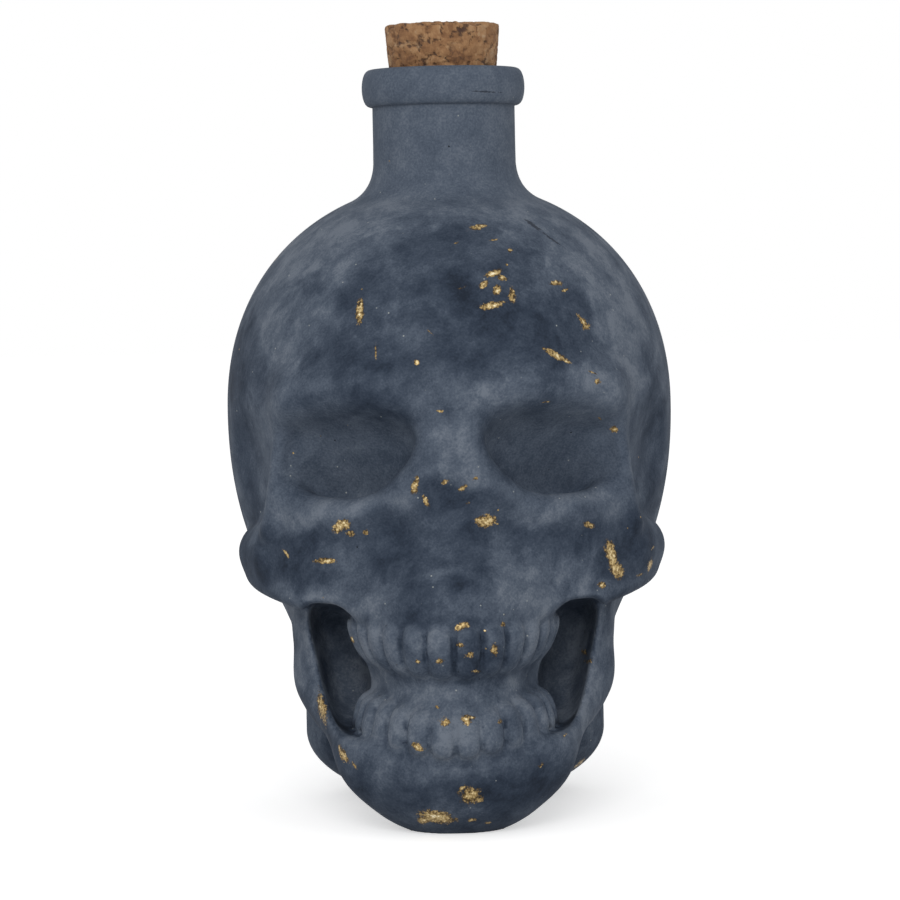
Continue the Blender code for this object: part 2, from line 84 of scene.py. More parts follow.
# Teeth: both rows stand on one rounded arch, and each tooth is a little narrower than the one before.
ARCH_WIDTH = 0.0342
ARCH_DEPTH = 0.0254
TEETH_PER_SIDE = 7
TOOTH_WIDTH = 0.0049
TOOTH_TAPER_SHARE = 0.03
UPPER_TOOTH_HEIGHT = 0.0082
LOWER_TOOTH_HEIGHT = 0.0084
UPPER_TOOTH_RELIEF = 0.0012
LOWER_TOOTH_RELIEF = 0.0012
UPPER_SIDE_RISE = 0.0004
LOWER_SIDE_RISE = 0.0022
ARCH_FLARE = 0.0009

# Jaw and stand
JAW_WIDTH = 0.0600
CHIN_WIDTH = 0.0400
STAND_WIDTH = 0.0568
STAND_DEPTH = 0.0380

# How softly neighbouring forms run into each other
BROAD_BLEND = 0.0080
SOFT_BLEND = 0.0050
FIRM_BLEND = 0.0025
CRISP_BLEND = 0.0012
TOOTH_BLEND = 0.0006
BELT_TOP_BLEND = 0.0035
ARCH_BLEND = 0.0060

# Lumps and hollows: centre, radii on the low side, and radii on the high side where they differ, as shares of
# the half width, the half depth and the height
BRAINCASE_SHARES = ((0, 0.16, 0.637), (1, 0.82, 0.457), (1, 0.84, 0.363))
FOREHEAD_SHARES = ((0, -0.18, 0.655), (0.815, 0.632, 0.293), (0.815, 0.68, 0.31))
STAND_PLACE_SHARES = (0, 0.26, 0.108)
STAND_RISE_SHARES = (0.121, 1)
BRANCH_SHARES = ((0, -0.08, 0.345), (1, 0.46, 0.3), (1, 0.32, 1))
CHIN_SHARES = ((0, -0.56, 0.122), (1, 0.32, 0.136), (1, 0.33, 0.078))
BELLY_SHARES = ((0, -0.16, 0.121), (0.396, 0.48, 0.134))
UPPER_JAW_SHARES = ((0, -0.44, 0.353), (0.446, 0.484, 0.129))
NOSE_PAD_SHARES = ((0, -0.716, 0.508), (1, 0.116, 0.069))
NOSE_RECESS_SHARES = ((0, -0.885, 0.508), (0.15, 0.06, 0.045))
EYE_PLACE_SHARES = (0, -0.69, 0.563)
EYE_CORNER_SHARES = ((0.31, -0.79, 0.572), (0.15, 0.16, 0.052))
TEMPLE_SHARES = ((1.007, -0.4, 0.568), (0.168, 0.24, 0.086))
POCKET_PLACE_SHARES = (0.497, -0.68, 0.264)
BELT_SHARES = ((0, -0.1, 0), (0.97, 0.666, 0), (0.97, 0.22, 0))
ARCH_PLACE_SHARES = (0, -0.42, 0)
UPPER_HOLLOW_SHARES = ((0, 0.16, 0.637), (0.95, 0.8, 0.3), (0.95, 0.8, 0.36))
LOWER_HOLLOW_SHARES = ((0, 0.14, 0.28), (0.5, 0.4, 0.3), (0.5, 0.4, 0.26))

# Ridges: points in the same shares, each with the ridge's radius there as a share of the height
JAW_BODY_SHARES = ((0.341, -0.58, 0.125, 0.057), (0.547, -0.2, 0.215, 0.045))
CHEEK_RIDGE_SHARES = ((0.784, -0.34, 0.422, 0.046), (0.871, -0.18, 0.421, 0.043), (0.88, 0, 0.422, 0.036))
BROW_SHARES = ((0, -0.7, 0.676, 0.038), (0.336, -0.69, 0.686, 0.038), (0.635, -0.565, 0.663, 0.0275))
EYE_RIM_SHARES = ((0.679, -0.53, 0.65, 0.017), (0.734, -0.484, 0.568, 0.016), (0.767, -0.44, 0.465, 0.019))
NOSE_SHARES = ((0, -0.676, 0.663, 0.047), (0, -0.72, 0.551, 0.05))
NOSE_WING_SHARES = (
    (0.07, -0.795, 0.597, 0.012), (0.12, -0.785, 0.561, 0.013), (0.19, -0.762, 0.536, 0.013),
    (0.285, -0.709, 0.513, 0.013), (0.4, -0.672, 0.501, 0.012), (0.51, -0.62, 0.501, 0.012),
    (0.6, -0.545, 0.505, 0.011), (0.7, -0.48, 0.518, 0.01),
)

# Levels that cut or place forms, as shares of the height
STAND_TOP_SHARE = 0.396
BRANCH_TOP_SHARE = 0.379
CHEEK_TOP_SHARE = 0.573
CHEEK_FOOT_SHARE = 0.339
ARCH_TOP_SHARE = 0.349
ARCH_FOOT_SHARE = 0.129
UPPER_TEETH_SHARE = 0.281
LOWER_TEETH_SHARE = 0.166
BROW_LEVEL_SHARE = 0.55
NECK_START_SHARE = 0.78
NECK_FOOT_SHARE = 1.03
BORE_FOOT_SHARE = 0.99
HOLLOW_TOP_SHARE = 0.96

# Leans and falls, as shares of the way along, and parts of a form as shares of its own size
EYE_LEAN_SHARE = 0.42
EYE_TURN = 30
CHEEK_TOP_FALL_SHARE = 0.28
CHEEK_FOOT_RISE_SHARE = 0.25
CHEEK_FOOT_START_SHARE = 0.69
CHEEK_END_START_SHARE = 0.85
CHEEK_END_FALL_SHARE = 0.9
CHEEK_END_TOP_SHARE = 0.458
POCKET_LEAN_SHARE = 0.22
POCKET_RISE_SHARE = 0.24
POCKET_LOW_SHARES = (0.535, 1, 0.58)
POCKET_HIGH_SHARES = (0.465, 1, 0.455)
ARCH_FLARE_SHARES = (0.258, 0.327)
UPPER_TOOTH_LEAN_SHARE = 0.22
LOWER_TOOTH_LEAN_SHARE = -0.16
UPPER_SIDE_LOSS_SHARE = 0.1
LOWER_SIDE_LOSS_SHARE = 0.21
TOOTH_HALF_SHARE = 0.54
TOOTH_THICK_SHARE = 0.62
TOOTH_ROOT_SHARE = 0.28
UPPER_FRONT_SHARE = 1
LOWER_FRONT_SHARE = 0.27
FRONT_TEETH = 4

# Waist between the two rows of teeth, and the notch under the nose
WAIST_LEVEL_SHARE = 0.229
WAIST_REACH = 0.0034
WAIST_DEPTH = 0.0015
NOTCH_LEVEL_SHARE = 0.379
NOTCH_SIZE = 0.0018
NOTCH_DEPTH = 0.0006

# How square the forms are: 2 is an ellipse, and more is squarer
BRAINCASE_POWER = 2.15
BRANCH_POWER = 2.6
BELT_POWER = 2.1
EYE_POWER = 2.6
EYE_CORNER_POWER = 2.2
EYE_CORNER_TURN = 15
POCKET_POWER = 3.2
TOOTH_POWER = 2.6
TOOTH_THICK_POWER = 2.2
TOOTH_ROOT_OF_SUM = 0.41
BEAD_POWER = 0.7

# Skin: the cell it is found on, and the points of every turned or inner ring
SKIN_CELL = 0.0006
EDGE_CELLS = 4
RING_POINTS = 96
INNER_LEVELS = 16
INNER_STEPS = 120
INNER_PACE = 0.6
BEAD_RINGS = 25
NECK_RINGS = 8
MOUTH_RINGS = 5
ARCH_STEPS = 400

FAR_OUT = SKULL_WIDTH + SKULL_DEPTH
BOTTLE_HEIGHT = SKULL_HEIGHT + NECK_HEIGHT


def spot(shares, width=SKULL_WIDTH):
    """A point or a size given as shares of the half width, half depth and height."""
    return np.array(shares) * np.array((width / 2, SKULL_DEPTH / 2, SKULL_HEIGHT))


# Forms: each takes points and gives how far outside its surface they lie.


def egg(points, centre, low, high, power=2.0, turn=0.0):
    """An ellipsoid whose radii may differ on the low and high side of each axis."""
    away = points - centre
    if turn:
        cos, sin = np.cos(np.radians(turn)), np.sin(np.radians(turn))
        across = away[:, 0] * cos + away[:, 1] * sin
        along = away[:, 1] * cos - away[:, 0] * sin
        away = np.stack((across, along, away[:, 2]), axis=1)
    radii = np.where(away < 0, low, high)
    ratio = np.abs(away / radii)
    size = (ratio**power).sum(axis=1) ** (1 / power)
    slope = np.sqrt(((ratio ** (power - 1) / radii) ** 2).sum(axis=1)) + 1 / FAR_OUT
    return (size - 1) * size ** (power - 1) / slope


def oval(points, centre, low, high, power=2.0):
    """An upright column with an oval plan."""
    tall = np.array((0, 0, FAR_OUT))
    return egg(points * (1, 1, 0), centre * (1, 1, 0), low + tall, high + tall, power)


def lump(points, table, power=2.0, width=SKULL_WIDTH, turn=0.0):
    """An egg from a table of shares."""
    centre, low, high = (spot(row, width) for row in (*table, table[-1])[:3])
    return egg(points, centre, low, high, power, turn)


def ridge(points, table, width=SKULL_WIDTH):
    """A chain of round bars through the table's points."""
    form = None
    for first, last in zip(table, table[1:]):
        start, end = spot(first[:3], width), spot(last[:3], width)
        start_radius, end_radius = first[3] * SKULL_HEIGHT, last[3] * SKULL_HEIGHT
        run = end - start
        along = np.clip(((points - start) @ run) / (run @ run), 0, 1)
        bar = np.linalg.norm(points - start - along[:, None] * run, axis=1)
        bar -= start_radius + (end_radius - start_radius) * along
        form = bar if form is None else np.minimum(form, bar)
    return form


def melt(form, added, blend):
    """Adds one form to another, with a fillet of the blend's size between them."""
    mix = np.clip(0.5 + 0.5 * (added - form) / blend, 0, 1)
    return added * (1 - mix) + form * mix - blend * mix * (1 - mix)


def press(form, hollow, blend):
    """Presses a hollow into a form, with a rounded rim of the blend's size."""
    return -melt(-form, hollow, blend)


def ease(values):
    """Runs from 0 to 1 with a soft start and end."""
    held = np.clip(values, 0, 1)
    return held * held * (3 - 2 * held)


def jaw(points):
    """The jaw's outer form: its branches beside the nape, its body, and the chin."""
    branches = lump(points, BRANCH_SHARES, BRANCH_POWER, JAW_WIDTH)
    branches = np.maximum(branches, points[:, 2] - BRANCH_TOP_SHARE * SKULL_HEIGHT)
    form = melt(branches, lump(points, BELLY_SHARES), SOFT_BLEND)
    form = melt(form, lump(points, CHIN_SHARES, 2.0, CHIN_WIDTH), SOFT_BLEND)
    return melt(form, ridge(points, JAW_BODY_SHARES), SOFT_BLEND)


def stand(points):
    """The nape and the rounded foot below it, which the bottle rests on."""
    low, high = (
        np.array((STAND_WIDTH / 2, STAND_DEPTH / 2, share * SKULL_HEIGHT)) for share in STAND_RISE_SHARES
    )
    column = egg(points, spot(STAND_PLACE_SHARES), low, high)
    return np.maximum(column, points[:, 2] - STAND_TOP_SHARE * SKULL_HEIGHT)


def cheeks(points):
    """The belt of the face below the eyes, and the cheekbones at its sides."""
    side, level = points[:, 0], points[:, 2]
    belt = oval(points, *(spot(row, CHEEK_SPAN) for row in BELT_SHARES), BELT_POWER)
    top = CHEEK_TOP_SHARE * SKULL_HEIGHT - side * CHEEK_TOP_FALL_SHARE
    top -= np.maximum(side - CHEEK_SPAN / 2 * CHEEK_END_START_SHARE, 0) * CHEEK_END_FALL_SHARE
    past = np.maximum(side - CHEEK_SPAN / 2 * CHEEK_FOOT_START_SHARE, 0)
    foot = CHEEK_FOOT_SHARE * SKULL_HEIGHT + past * CHEEK_FOOT_RISE_SHARE
    belt = press(belt, top - level, BELT_TOP_BLEND)
    belt = press(belt, level - foot, FIRM_BLEND)
    bone = ridge(points, CHEEK_RIDGE_SHARES, CHEEK_SPAN)
    bone = press(bone, CHEEK_END_TOP_SHARE * SKULL_HEIGHT - level, CRISP_BLEND)
    return melt(belt, bone, FIRM_BLEND)


def eye_hollow(points):
    """The shallow eye socket, deeper at its foot than under the brow."""
    centre = spot(EYE_PLACE_SHARES) + np.array((EYE_SPACING / 2, 0, 0))
    radii = np.array((EYE_WIDTH / 2, EYE_DEPTH, EYE_HEIGHT / 2))
    leaning = points.copy()
    leaning[:, 1] += (points[:, 2] - centre[2]) * EYE_LEAN_SHARE
    return egg(leaning, centre, radii, radii, EYE_POWER, EYE_TURN)


def cheek_pocket(points):
    """The deep pocket between the teeth and the jaw's branch, open to the front."""
    centre = spot(POCKET_PLACE_SHARES)
    size = np.array((POCKET_WIDTH, POCKET_DEPTH, POCKET_HEIGHT))
    leaning = points.copy()
    leaning[:, 0] += np.maximum(centre[2] - points[:, 2], 0) * POCKET_LEAN_SHARE
    leaning[:, 0] -= np.maximum(points[:, 2] - centre[2], 0) * POCKET_RISE_SHARE
    return egg(leaning, centre, size * POCKET_LOW_SHARES, size * POCKET_HIGH_SHARES, POCKET_POWER)


def tooth_arch(points):
    """The curved wall that both rows of teeth stand on, a little wider towards the nose."""
    level = points[:, 2]
    radii = np.array((ARCH_WIDTH / 2 - UPPER_TOOTH_RELIEF, ARCH_DEPTH - UPPER_TOOTH_RELIEF, 0))
    flare_foot, flare_top = ARCH_FLARE_SHARES
    flare = ease((level / SKULL_HEIGHT - flare_foot) / (flare_top - flare_foot)) * ARCH_FLARE
    waist = WAIST_DEPTH * np.exp(-(((level - WAIST_LEVEL_SHARE * SKULL_HEIGHT) / WAIST_REACH) ** 2))
    wall = oval(points, spot(ARCH_PLACE_SHARES), radii, radii) - flare + waist
    wall = press(wall, ARCH_TOP_SHARE * SKULL_HEIGHT - level, ARCH_BLEND)
    return press(wall, level - ARCH_FOOT_SHARE * SKULL_HEIGHT, ARCH_BLEND)


def tooth_places():
    """The teeth of one side: for each its middle, the way along the arch, its width, and a share that runs
    from 0 in front to 1 at the side."""
    bend = np.linspace(0, np.pi / 2, ARCH_STEPS)
    path = np.stack((ARCH_WIDTH / 2 * np.sin(bend), -ARCH_DEPTH * np.cos(bend)), axis=1)
    path += spot(ARCH_PLACE_SHARES)[:2]
    run = np.concatenate(([0], np.cumsum(np.linalg.norm(np.diff(path, axis=0), axis=1))))
    reached = 0
    for number in range(TEETH_PER_SIDE):
        width = TOOTH_WIDTH * (1 - TOOTH_TAPER_SHARE * number)
        here = min(np.searchsorted(run, reached + width / 2), len(path) - 2)
        tangent = path[here + 1] - path[here - 1]
        tangent /= np.linalg.norm(tangent)
        yield path[here], tangent, width, min(number / FRONT_TEETH, 1)
        reached += width


def tooth_row(points, level, height, relief, rise, loss, lean, front_share):
    """A row of rounded teeth, half sunk in the arch, with long fading roots. Towards the sides they sit
    higher, lean more and are shorter. They stand out fully there, and in front by a share of the relief."""
    row = np.full(len(points), FAR_OUT)
    for place, tangent, width, side in tooth_places():
        outward = np.array((tangent[1], -tangent[0]))
        share = front_share + (1 - front_share) * side
        stand_out, slant = relief * share, lean * (1 + side)
        thick, half = width * TOOTH_THICK_SHARE, width * TOOTH_HALF_SHARE
        above = points[:, 2] - level - side * rise
        away = points[:, :2] - place + outward * (thick - stand_out)
        away -= outward * (slant * above[:, None])
        across = np.abs(away @ tangent) / half
        along = np.abs(away @ outward) / thick
        up = np.abs(above) * 2 / (height * (1 - side * loss))
        up *= np.where(above * lean > 0, 1 - TOOTH_ROOT_SHARE * share, 1)
        size = across**TOOTH_POWER + along**TOOTH_THICK_POWER + up**TOOTH_POWER
        size **= TOOTH_ROOT_OF_SUM
        row = np.minimum(row, (size - 1) * half)
    return row


def teeth(points):
    upper = tooth_row(
        points, UPPER_TEETH_SHARE * SKULL_HEIGHT, UPPER_TOOTH_HEIGHT, UPPER_TOOTH_RELIEF, UPPER_SIDE_RISE,
        UPPER_SIDE_LOSS_SHARE, UPPER_TOOTH_LEAN_SHARE, UPPER_FRONT_SHARE,
    )
    lower = tooth_row(
        points, LOWER_TEETH_SHARE * SKULL_HEIGHT, LOWER_TOOTH_HEIGHT, LOWER_TOOTH_RELIEF, LOWER_SIDE_RISE,
        LOWER_SIDE_LOSS_SHARE, LOWER_TOOTH_LEAN_SHARE, LOWER_FRONT_SHARE,
    )
    return np.minimum(upper, lower)


def skull_form(points, with_teeth=True):
    """The whole outside of the bottle below the lip, the same on both sides of the face's middle."""
    points = np.column_stack((np.abs(points[:, 0]), points[:, 1:]))
    form = lump(points, BRAINCASE_SHARES, BRAINCASE_POWER)
    form = melt(form, lump(points, FOREHEAD_SHARES), BROAD_BLEND)
    form = melt(form, stand(points), BROAD_BLEND)
    form = melt(form, jaw(points), FIRM_BLEND)
    form = melt(form, cheeks(points), CRISP_BLEND)
    form = melt(form, lump(points, UPPER_JAW_SHARES), SOFT_BLEND)
    form = melt(form, ridge(points, BROW_SHARES), BROAD_BLEND)
    form = melt(form, ridge(points, EYE_RIM_SHARES), FIRM_BLEND)
    form = melt(form, ridge(points, NOSE_SHARES), SOFT_BLEND)
    brow_share = ease((points[:, 2] / SKULL_HEIGHT - BROW_LEVEL_SHARE) * SKULL_HEIGHT / BROAD_BLEND)
    form = press(form, eye_hollow(points), FIRM_BLEND + (BROAD_BLEND - FIRM_BLEND) * brow_share)
    corner = lump(points, EYE_CORNER_SHARES, EYE_CORNER_POWER, SKULL_WIDTH, EYE_CORNER_TURN)
    form = press(form, corner, SOFT_BLEND)
    form = melt(form, lump(points, NOSE_PAD_SHARES, 2.0, NOSE_WIDTH), SOFT_BLEND)
    form = press(form, lump(points, NOSE_RECESS_SHARES), FIRM_BLEND)
    form = melt(form, ridge(points, NOSE_WING_SHARES), SOFT_BLEND)
    form = press(form, lump(points, TEMPLE_SHARES), SOFT_BLEND)
    form = press(form, cheek_pocket(points), CRISP_BLEND)
    form = melt(form, tooth_arch(points), FIRM_BLEND)
    if with_teeth:
        form = melt(form, teeth(points), TOOTH_BLEND)
    notch = (points[:, 0] ** 2 + (points[:, 2] - NOTCH_LEVEL_SHARE * SKULL_HEIGHT) ** 2) / NOTCH_SIZE**2
    form = form + NOTCH_DEPTH * np.exp(-notch) * (points[:, 1] < 0)
    neck = np.hypot(points[:, 0], points[:, 1]) - NECK_DIAMETER / 2
    neck = np.maximum(neck, NECK_START_SHARE * SKULL_HEIGHT - points[:, 2])
    return melt(form, neck, SOFT_BLEND)


# Skin: one point in every grid cell that the surface runs through


def grid_depths(low, counts):
    """The skull form at every corner of the grid. Far from the surface a coarse value is enough."""
    block = 4
    coarse = [low[axis] + SKIN_CELL * np.arange(0, counts[axis], block) for axis in range(3)]
    corners = np.stack(np.meshgrid(*coarse, indexing="ij"), axis=-1)
    rough = skull_form(corners.reshape(-1, 3)).reshape(corners.shape[:3])
    depths = rough
    for axis in range(3):
        depths = np.repeat(depths, block, axis=axis)
    depths = depths[: counts[0], : counts[1], : counts[2]]
    close = np.abs(depths) < SKIN_CELL * block * 2
    depths[close] = skull_form(low + SKIN_CELL * np.argwhere(close))
    return depths


def settle(points):
    """Moves points along the form's slope until they lie on its surface."""
    small = SKIN_CELL / 5
    for _ in range(2):
        depth = skull_form(points)
        slopes = [
            (skull_form(points + small * way) - skull_form(points - small * way)) / (2 * small)
            for way in np.identity(3)
        ]
        slope = np.stack(slopes, axis=1)
        move = slope * (depth / (slope * slope).sum(axis=1))[:, None]
        points = points - np.clip(move, -SKIN_CELL / 2, SKIN_CELL / 2)
    return points


def skull_skin():
    """Points and four-sided faces on the skull form, from below the floor to the neck's foot."""
    across = int(SKULL_WIDTH / 2 / SKIN_CELL) + EDGE_CELLS
    along = int(SKULL_DEPTH / 2 / SKIN_CELL) + EDGE_CELLS
    low = np.array((-across, -along, -EDGE_CELLS)) * SKIN_CELL
    top = SKULL_HEIGHT * NECK_FOOT_SHARE + SKIN_CELL * (EDGE_CELLS - 1)
    high = np.array((across * SKIN_CELL, along * SKIN_CELL, top))
    counts = np.ceil((high - low) / SKIN_CELL).astype(int) + 1
    depths = grid_depths(low, counts)
    cells = counts - 1
    sums, hits = np.zeros((*cells, 3)), np.zeros(cells)
    names = np.arange(cells.prod()).reshape(cells)
    faces = []
    for axis, (first, second) in enumerate(((1, 2), (2, 0), (0, 1))):
        starts = np.take(depths, range(cells[axis]), axis=axis)
        ends = np.take(depths, range(1, counts[axis]), axis=axis)
        edges = np.argwhere((starts < 0) != (ends < 0))
        edges = edges[(edges[:, first] > 0) & (edges[:, second] > 0)]
        edges = edges[(edges[:, first] < cells[first]) & (edges[:, second] < cells[second])]
        start, end = starts[tuple(edges.T)], ends[tuple(edges.T)]
        crossing = low + SKIN_CELL * edges
        crossing[:, axis] += SKIN_CELL * start / (start - end)
        round_edge = []
        for back_first, back_second in ((0, 0), (1, 0), (1, 1), (0, 1)):
            cell = edges.copy()
            cell[:, first] -= back_first
            cell[:, second] -= back_second
            np.add.at(sums, tuple(cell.T), crossing)
            np.add.at(hits, tuple(cell.T), 1)
            round_edge.append(names[tuple(cell.T)])
        face = np.stack(round_edge, axis=1)
        face[start > 0] = face[start > 0][:, ::-1]
        faces.append(face)
    faces = np.concatenate(faces)
    used, corners = np.unique(faces, return_inverse=True)
    points = sums.reshape(-1, 3)[used] / hits.reshape(-1)[used][:, None]
    return settle(points), corners.reshape(faces.shape)


def hollow_form(points):
    """The glass's inner face: two plain eggs, held everywhere at least a wall inside the skull."""
    core = melt(lump(points, UPPER_HOLLOW_SHARES), lump(points, LOWER_HOLLOW_SHARES), BROAD_BLEND)
    return np.maximum(core, skull_form(points, with_teeth=False) + GLASS_WALL)


def round_ways(count):
    """Evenly spaced ways round the neck's axis, the first one towards the front."""
    angles = 2 * np.pi * np.arange(count) / count
    return np.stack((np.sin(angles), -np.cos(angles)), axis=1)


def hollow_rings(levels):
    """One ring of points on the hollow's wall for each level, found by walking outwards."""
    ways = np.column_stack((round_ways(RING_POINTS), np.zeros(RING_POINTS)))
    middle = spot(LOWER_HOLLOW_SHARES[0])
    starts = np.repeat([(0, middle[1], level) for level in levels], RING_POINTS, axis=0)
    ways = np.tile(ways, (len(levels), 1))
    reach = np.zeros(len(starts))
    for _ in range(INNER_STEPS):
        reach -= hollow_form(starts + ways * reach[:, None]) * INNER_PACE
    return (starts + ways * reach[:, None]).reshape(len(levels), RING_POINTS, 3)


def turned_rings(profile):
    """Round rings from (radius, level) pairs."""
    ways = round_ways(RING_POINTS)
    return [np.column_stack((radius * ways, np.full(RING_POINTS, level))) for radius, level in profile]


def lip_profile():
    """The round bead of the lip, from its inner edge over the outside and down the neck."""
    middle = BOTTLE_HEIGHT - LIP_HEIGHT / 2
    neck, bulge = NECK_DIAMETER / 2, (LIP_DIAMETER - NECK_DIAMETER) / 2
    bead = []
    for bend in np.linspace(np.pi / 2, -np.pi / 2, BEAD_RINGS):
        out = max(np.cos(bend), 0) ** BEAD_POWER
        bead.append((neck + bulge * out, middle + LIP_HEIGHT / 2 * np.sin(bend)))
    foot = BOTTLE_HEIGHT - LIP_HEIGHT * 2
    return bead + [(neck, level) for level in np.linspace(bead[-1][1], foot, NECK_RINGS + 1)[1:]]


def cork_radius(depth):
    """The cork's radius at a depth below its top."""
    taper = (CORK_TOP_DIAMETER - CORK_BOTTOM_DIAMETER) / 2 / CORK_LENGTH
    return CORK_TOP_DIAMETER / 2 - taper * depth


def bore_profile():
    """The mouth and bore, which follow the cork's taper and then run straight to the hollow."""
    mouth = cork_radius(CORK_SHOWING) + CORK_CLEARANCE
    bore = cork_radius(CORK_LENGTH) + CORK_CLEARANCE
    cork_end = BOTTLE_HEIGHT + CORK_SHOWING - CORK_LENGTH
    edge = [
        (mouth + MOUTH_EDGE * (1 - np.cos(bend)), BOTTLE_HEIGHT - MOUTH_EDGE * (1 - np.sin(bend)))
        for bend in np.linspace(0, np.pi / 2, MOUTH_RINGS)
    ]
    return [(bore, SKULL_HEIGHT * BORE_FOOT_SHARE), (bore, cork_end)] + edge


def add_rings(mesh, rings):
    """Adds rings of points and skins each to the next, and returns the first and last ring's edges."""
    rows = [[mesh.verts.new(point) for point in ring] for ring in rings]
    for upper, lower in zip(rows, rows[1:]):
        for here in range(len(upper)):
            after = (here + 1) % len(upper)
            mesh.faces.new((upper[here], lower[here], lower[after], upper[after]))
    return [[mesh.edges.get(pair) for pair in zip(row, row[1:] + row[:1])] for row in (rows[0], rows[-1])]


def cut_level(mesh, level, keep_above):
    """Cuts a mesh off at a level and returns the edges of the cut."""
    near = SKIN_CELL / 9
    for corner in mesh.verts:
        if abs(corner.co.z - level) < near:
            corner.co.z = level
    cut = bmesh.ops.bisect_plane(
        mesh,
        geom=mesh.verts[:] + mesh.edges[:] + mesh.faces[:],
        dist=near / 100,
        plane_co=(0, 0, level),
        plane_no=(0, 0, 1),
        clear_inner=keep_above,
        clear_outer=not keep_above,
    )
    return [item for item in cut["geom_cut"] if isinstance(item, bmesh.types.BMEdge)]


def add_object(name, data):
    made = bpy.data.objects.new(name, data)
    bpy.context.scene.collection.objects.link(made)
    return made


def show(name, mesh, node, soft_angle):
    """Turns a mesh into the object that stands for a CAD node, held inside that node's box."""
    low, high = (np.array(corner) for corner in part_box(node))
    for corner in mesh.verts:
        corner.co = Vector(np.clip(corner.co, low, high))
    bmesh.ops.recalc_face_normals(mesh, faces=mesh.faces[:])
    data = bpy.data.meshes.new(name)
    mesh.to_mesh(data)
    mesh.free()
    data.shade_smooth()
    data.set_sharp_from_angle(angle=np.radians(soft_angle))
    made = add_object(name, data)
    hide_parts(node)
    return made


def make_bottle():
    points, faces = skull_skin()
    draft = bpy.data.meshes.new("skin")
    draft.from_pydata(points.tolist(), [], faces.tolist())
    mesh = bmesh.new()
    mesh.from_mesh(draft)
    bpy.data.meshes.remove(draft)
    foot = cut_level(mesh, 0, keep_above=True)
    bmesh.ops.contextual_create(mesh, geom=foot)
    shoulder = cut_level(mesh, SKULL_HEIGHT * NECK_FOOT_SHARE, keep_above=False)
    lip, neck = add_rings(mesh, turned_rings(lip_profile()))
    bmesh.ops.bridge_loops(mesh, edges=shoulder + neck)
    levels = np.linspace(GLASS_FLOOR, HOLLOW_TOP_SHARE * SKULL_HEIGHT, INNER_LEVELS)
    inside = list(hollow_rings(levels)) + turned_rings(bore_profile())
    hollow_floor, mouth = add_rings(mesh, inside)
    bmesh.ops.contextual_create(mesh, geom=hollow_floor)
    bmesh.ops.bridge_loops(mesh, edges=lip + mouth)
    return show("moulded_bottle", mesh, "glass_bottle", soft_angle=60)


# Coat: pale dust and dark patches lie on the face, and gold shows where the coat is worn through. Some of the
# pale ovals are painted highlights on rims and ridges, and some of the dark ones are painted shade in
# recesses and along the sides. A row holds the place, half width, half height, turn in degrees and strength
# of one oval.
# The notes are in the photograph's pixel coordinates, counted from its top left corner. The patches and
# scratches are in millimetres, across and up as the face is looked at.

PALE_NOTES = (
    (450, 205, 110, 22, 0, 0.7), (345, 245, 70, 40, 25, 1), (285, 300, 30, 60, -20, 0.5),
    (325, 372, 45, 35, 0, 0.4), (560, 262, 55, 28, -25, 0.6), (622, 310, 26, 50, 15, 0.7),
    (606, 385, 12, 45, 0, 0.6), (505, 395, 60, 16, 0, 0.35), (562, 415, 45, 12, -10, 0.35),
    (320, 508, 62, 8, -3, 0.9), (592, 508, 60, 8, 3, 0.8), (275, 590, 35, 10, -15, 0.6),
    (610, 588, 40, 8, 8, 0.6), (255, 545, 14, 18, 0, 0.4), (385, 655, 22, 14, 0, 0.5),
    (540, 650, 16, 20, 0, 0.6), (455, 697, 75, 8, 0, 0.8), (455, 735, 50, 22, 0, 0.45),
    (455, 768, 60, 14, 0, 0.4), (572, 735, 18, 40, -20, 0.5), (305, 640, 10, 30, 0, 0.3),
    (440, 130, 60, 50, 0, 0.1), (455, 520, 26, 14, 0, 0.4),
)
PALE_PATCHES = (
    (4.5, 64.4, 5.2, 1.4, -50, 1.1), (0.5, 67.5, 2.6, 4, 0, 0.8), (10.5, 59.4, 4, 1.2, -25, 1),
    (-4.8, 64.4, 5.2, 1.4, 51, 1.1), (-10.5, 59.2, 4, 1.2, 25, 0.9), (-13, 42, 5, 5, 0, 0.9),
    (10.5, 42.5, 5, 6, 0, 0.8), (0, 40, 11, 3.5, 0, 0.3), (-2.2, 46.3, 2.8, 0.9, 28, 0.9),
    (1.6, 46.3, 2.8, 0.9, -28, 0.8),
)
DARK_NOTES = (
    (386, 458, 18, 34, 0, 0.5), (506, 458, 18, 34, 0, 0.5), (283, 487, 20, 14, 0, 0.8),
    (345, 305, 26, 50, 0, 1), (420, 300, 60, 45, 0, 0.5), (450, 368, 150, 22, 0, 0.8),
    (528, 322, 55, 28, -10, 0.9), (242, 390, 12, 90, 0, 0.7), (656, 430, 12, 80, 0, 0.6),
    (325, 532, 70, 10, 5, 0.6), (270, 562, 34, 24, 0, 0.7), (430, 550, 80, 16, 0, 0.3),
    (612, 550, 30, 38, 0, 0.9), (560, 530, 60, 10, -5, 0.5), (475, 640, 50, 10, 5, 0.3),
    (500, 668, 26, 14, 0, 0.4), (450, 592, 7, 14, 0, 0.6), (335, 745, 26, 50, 30, 0.6),
    (460, 795, 90, 22, 0, 0.85), (318, 690, 12, 50, 0, 0.5), (430, 210, 22, 8, 0, 0.5),
    (590, 230, 35, 8, -35, 0.6), (370, 410, 60, 8, 15, 0.4),
)
DARK_PATCHES = (
    (-26.4, 34, 1.9, 9.5, 0, 0.9), (26.4, 33, 1.9, 9.5, 0, 0.9), (0.3, 61.6, 3.2, 2.4, 0, 1.1),
)
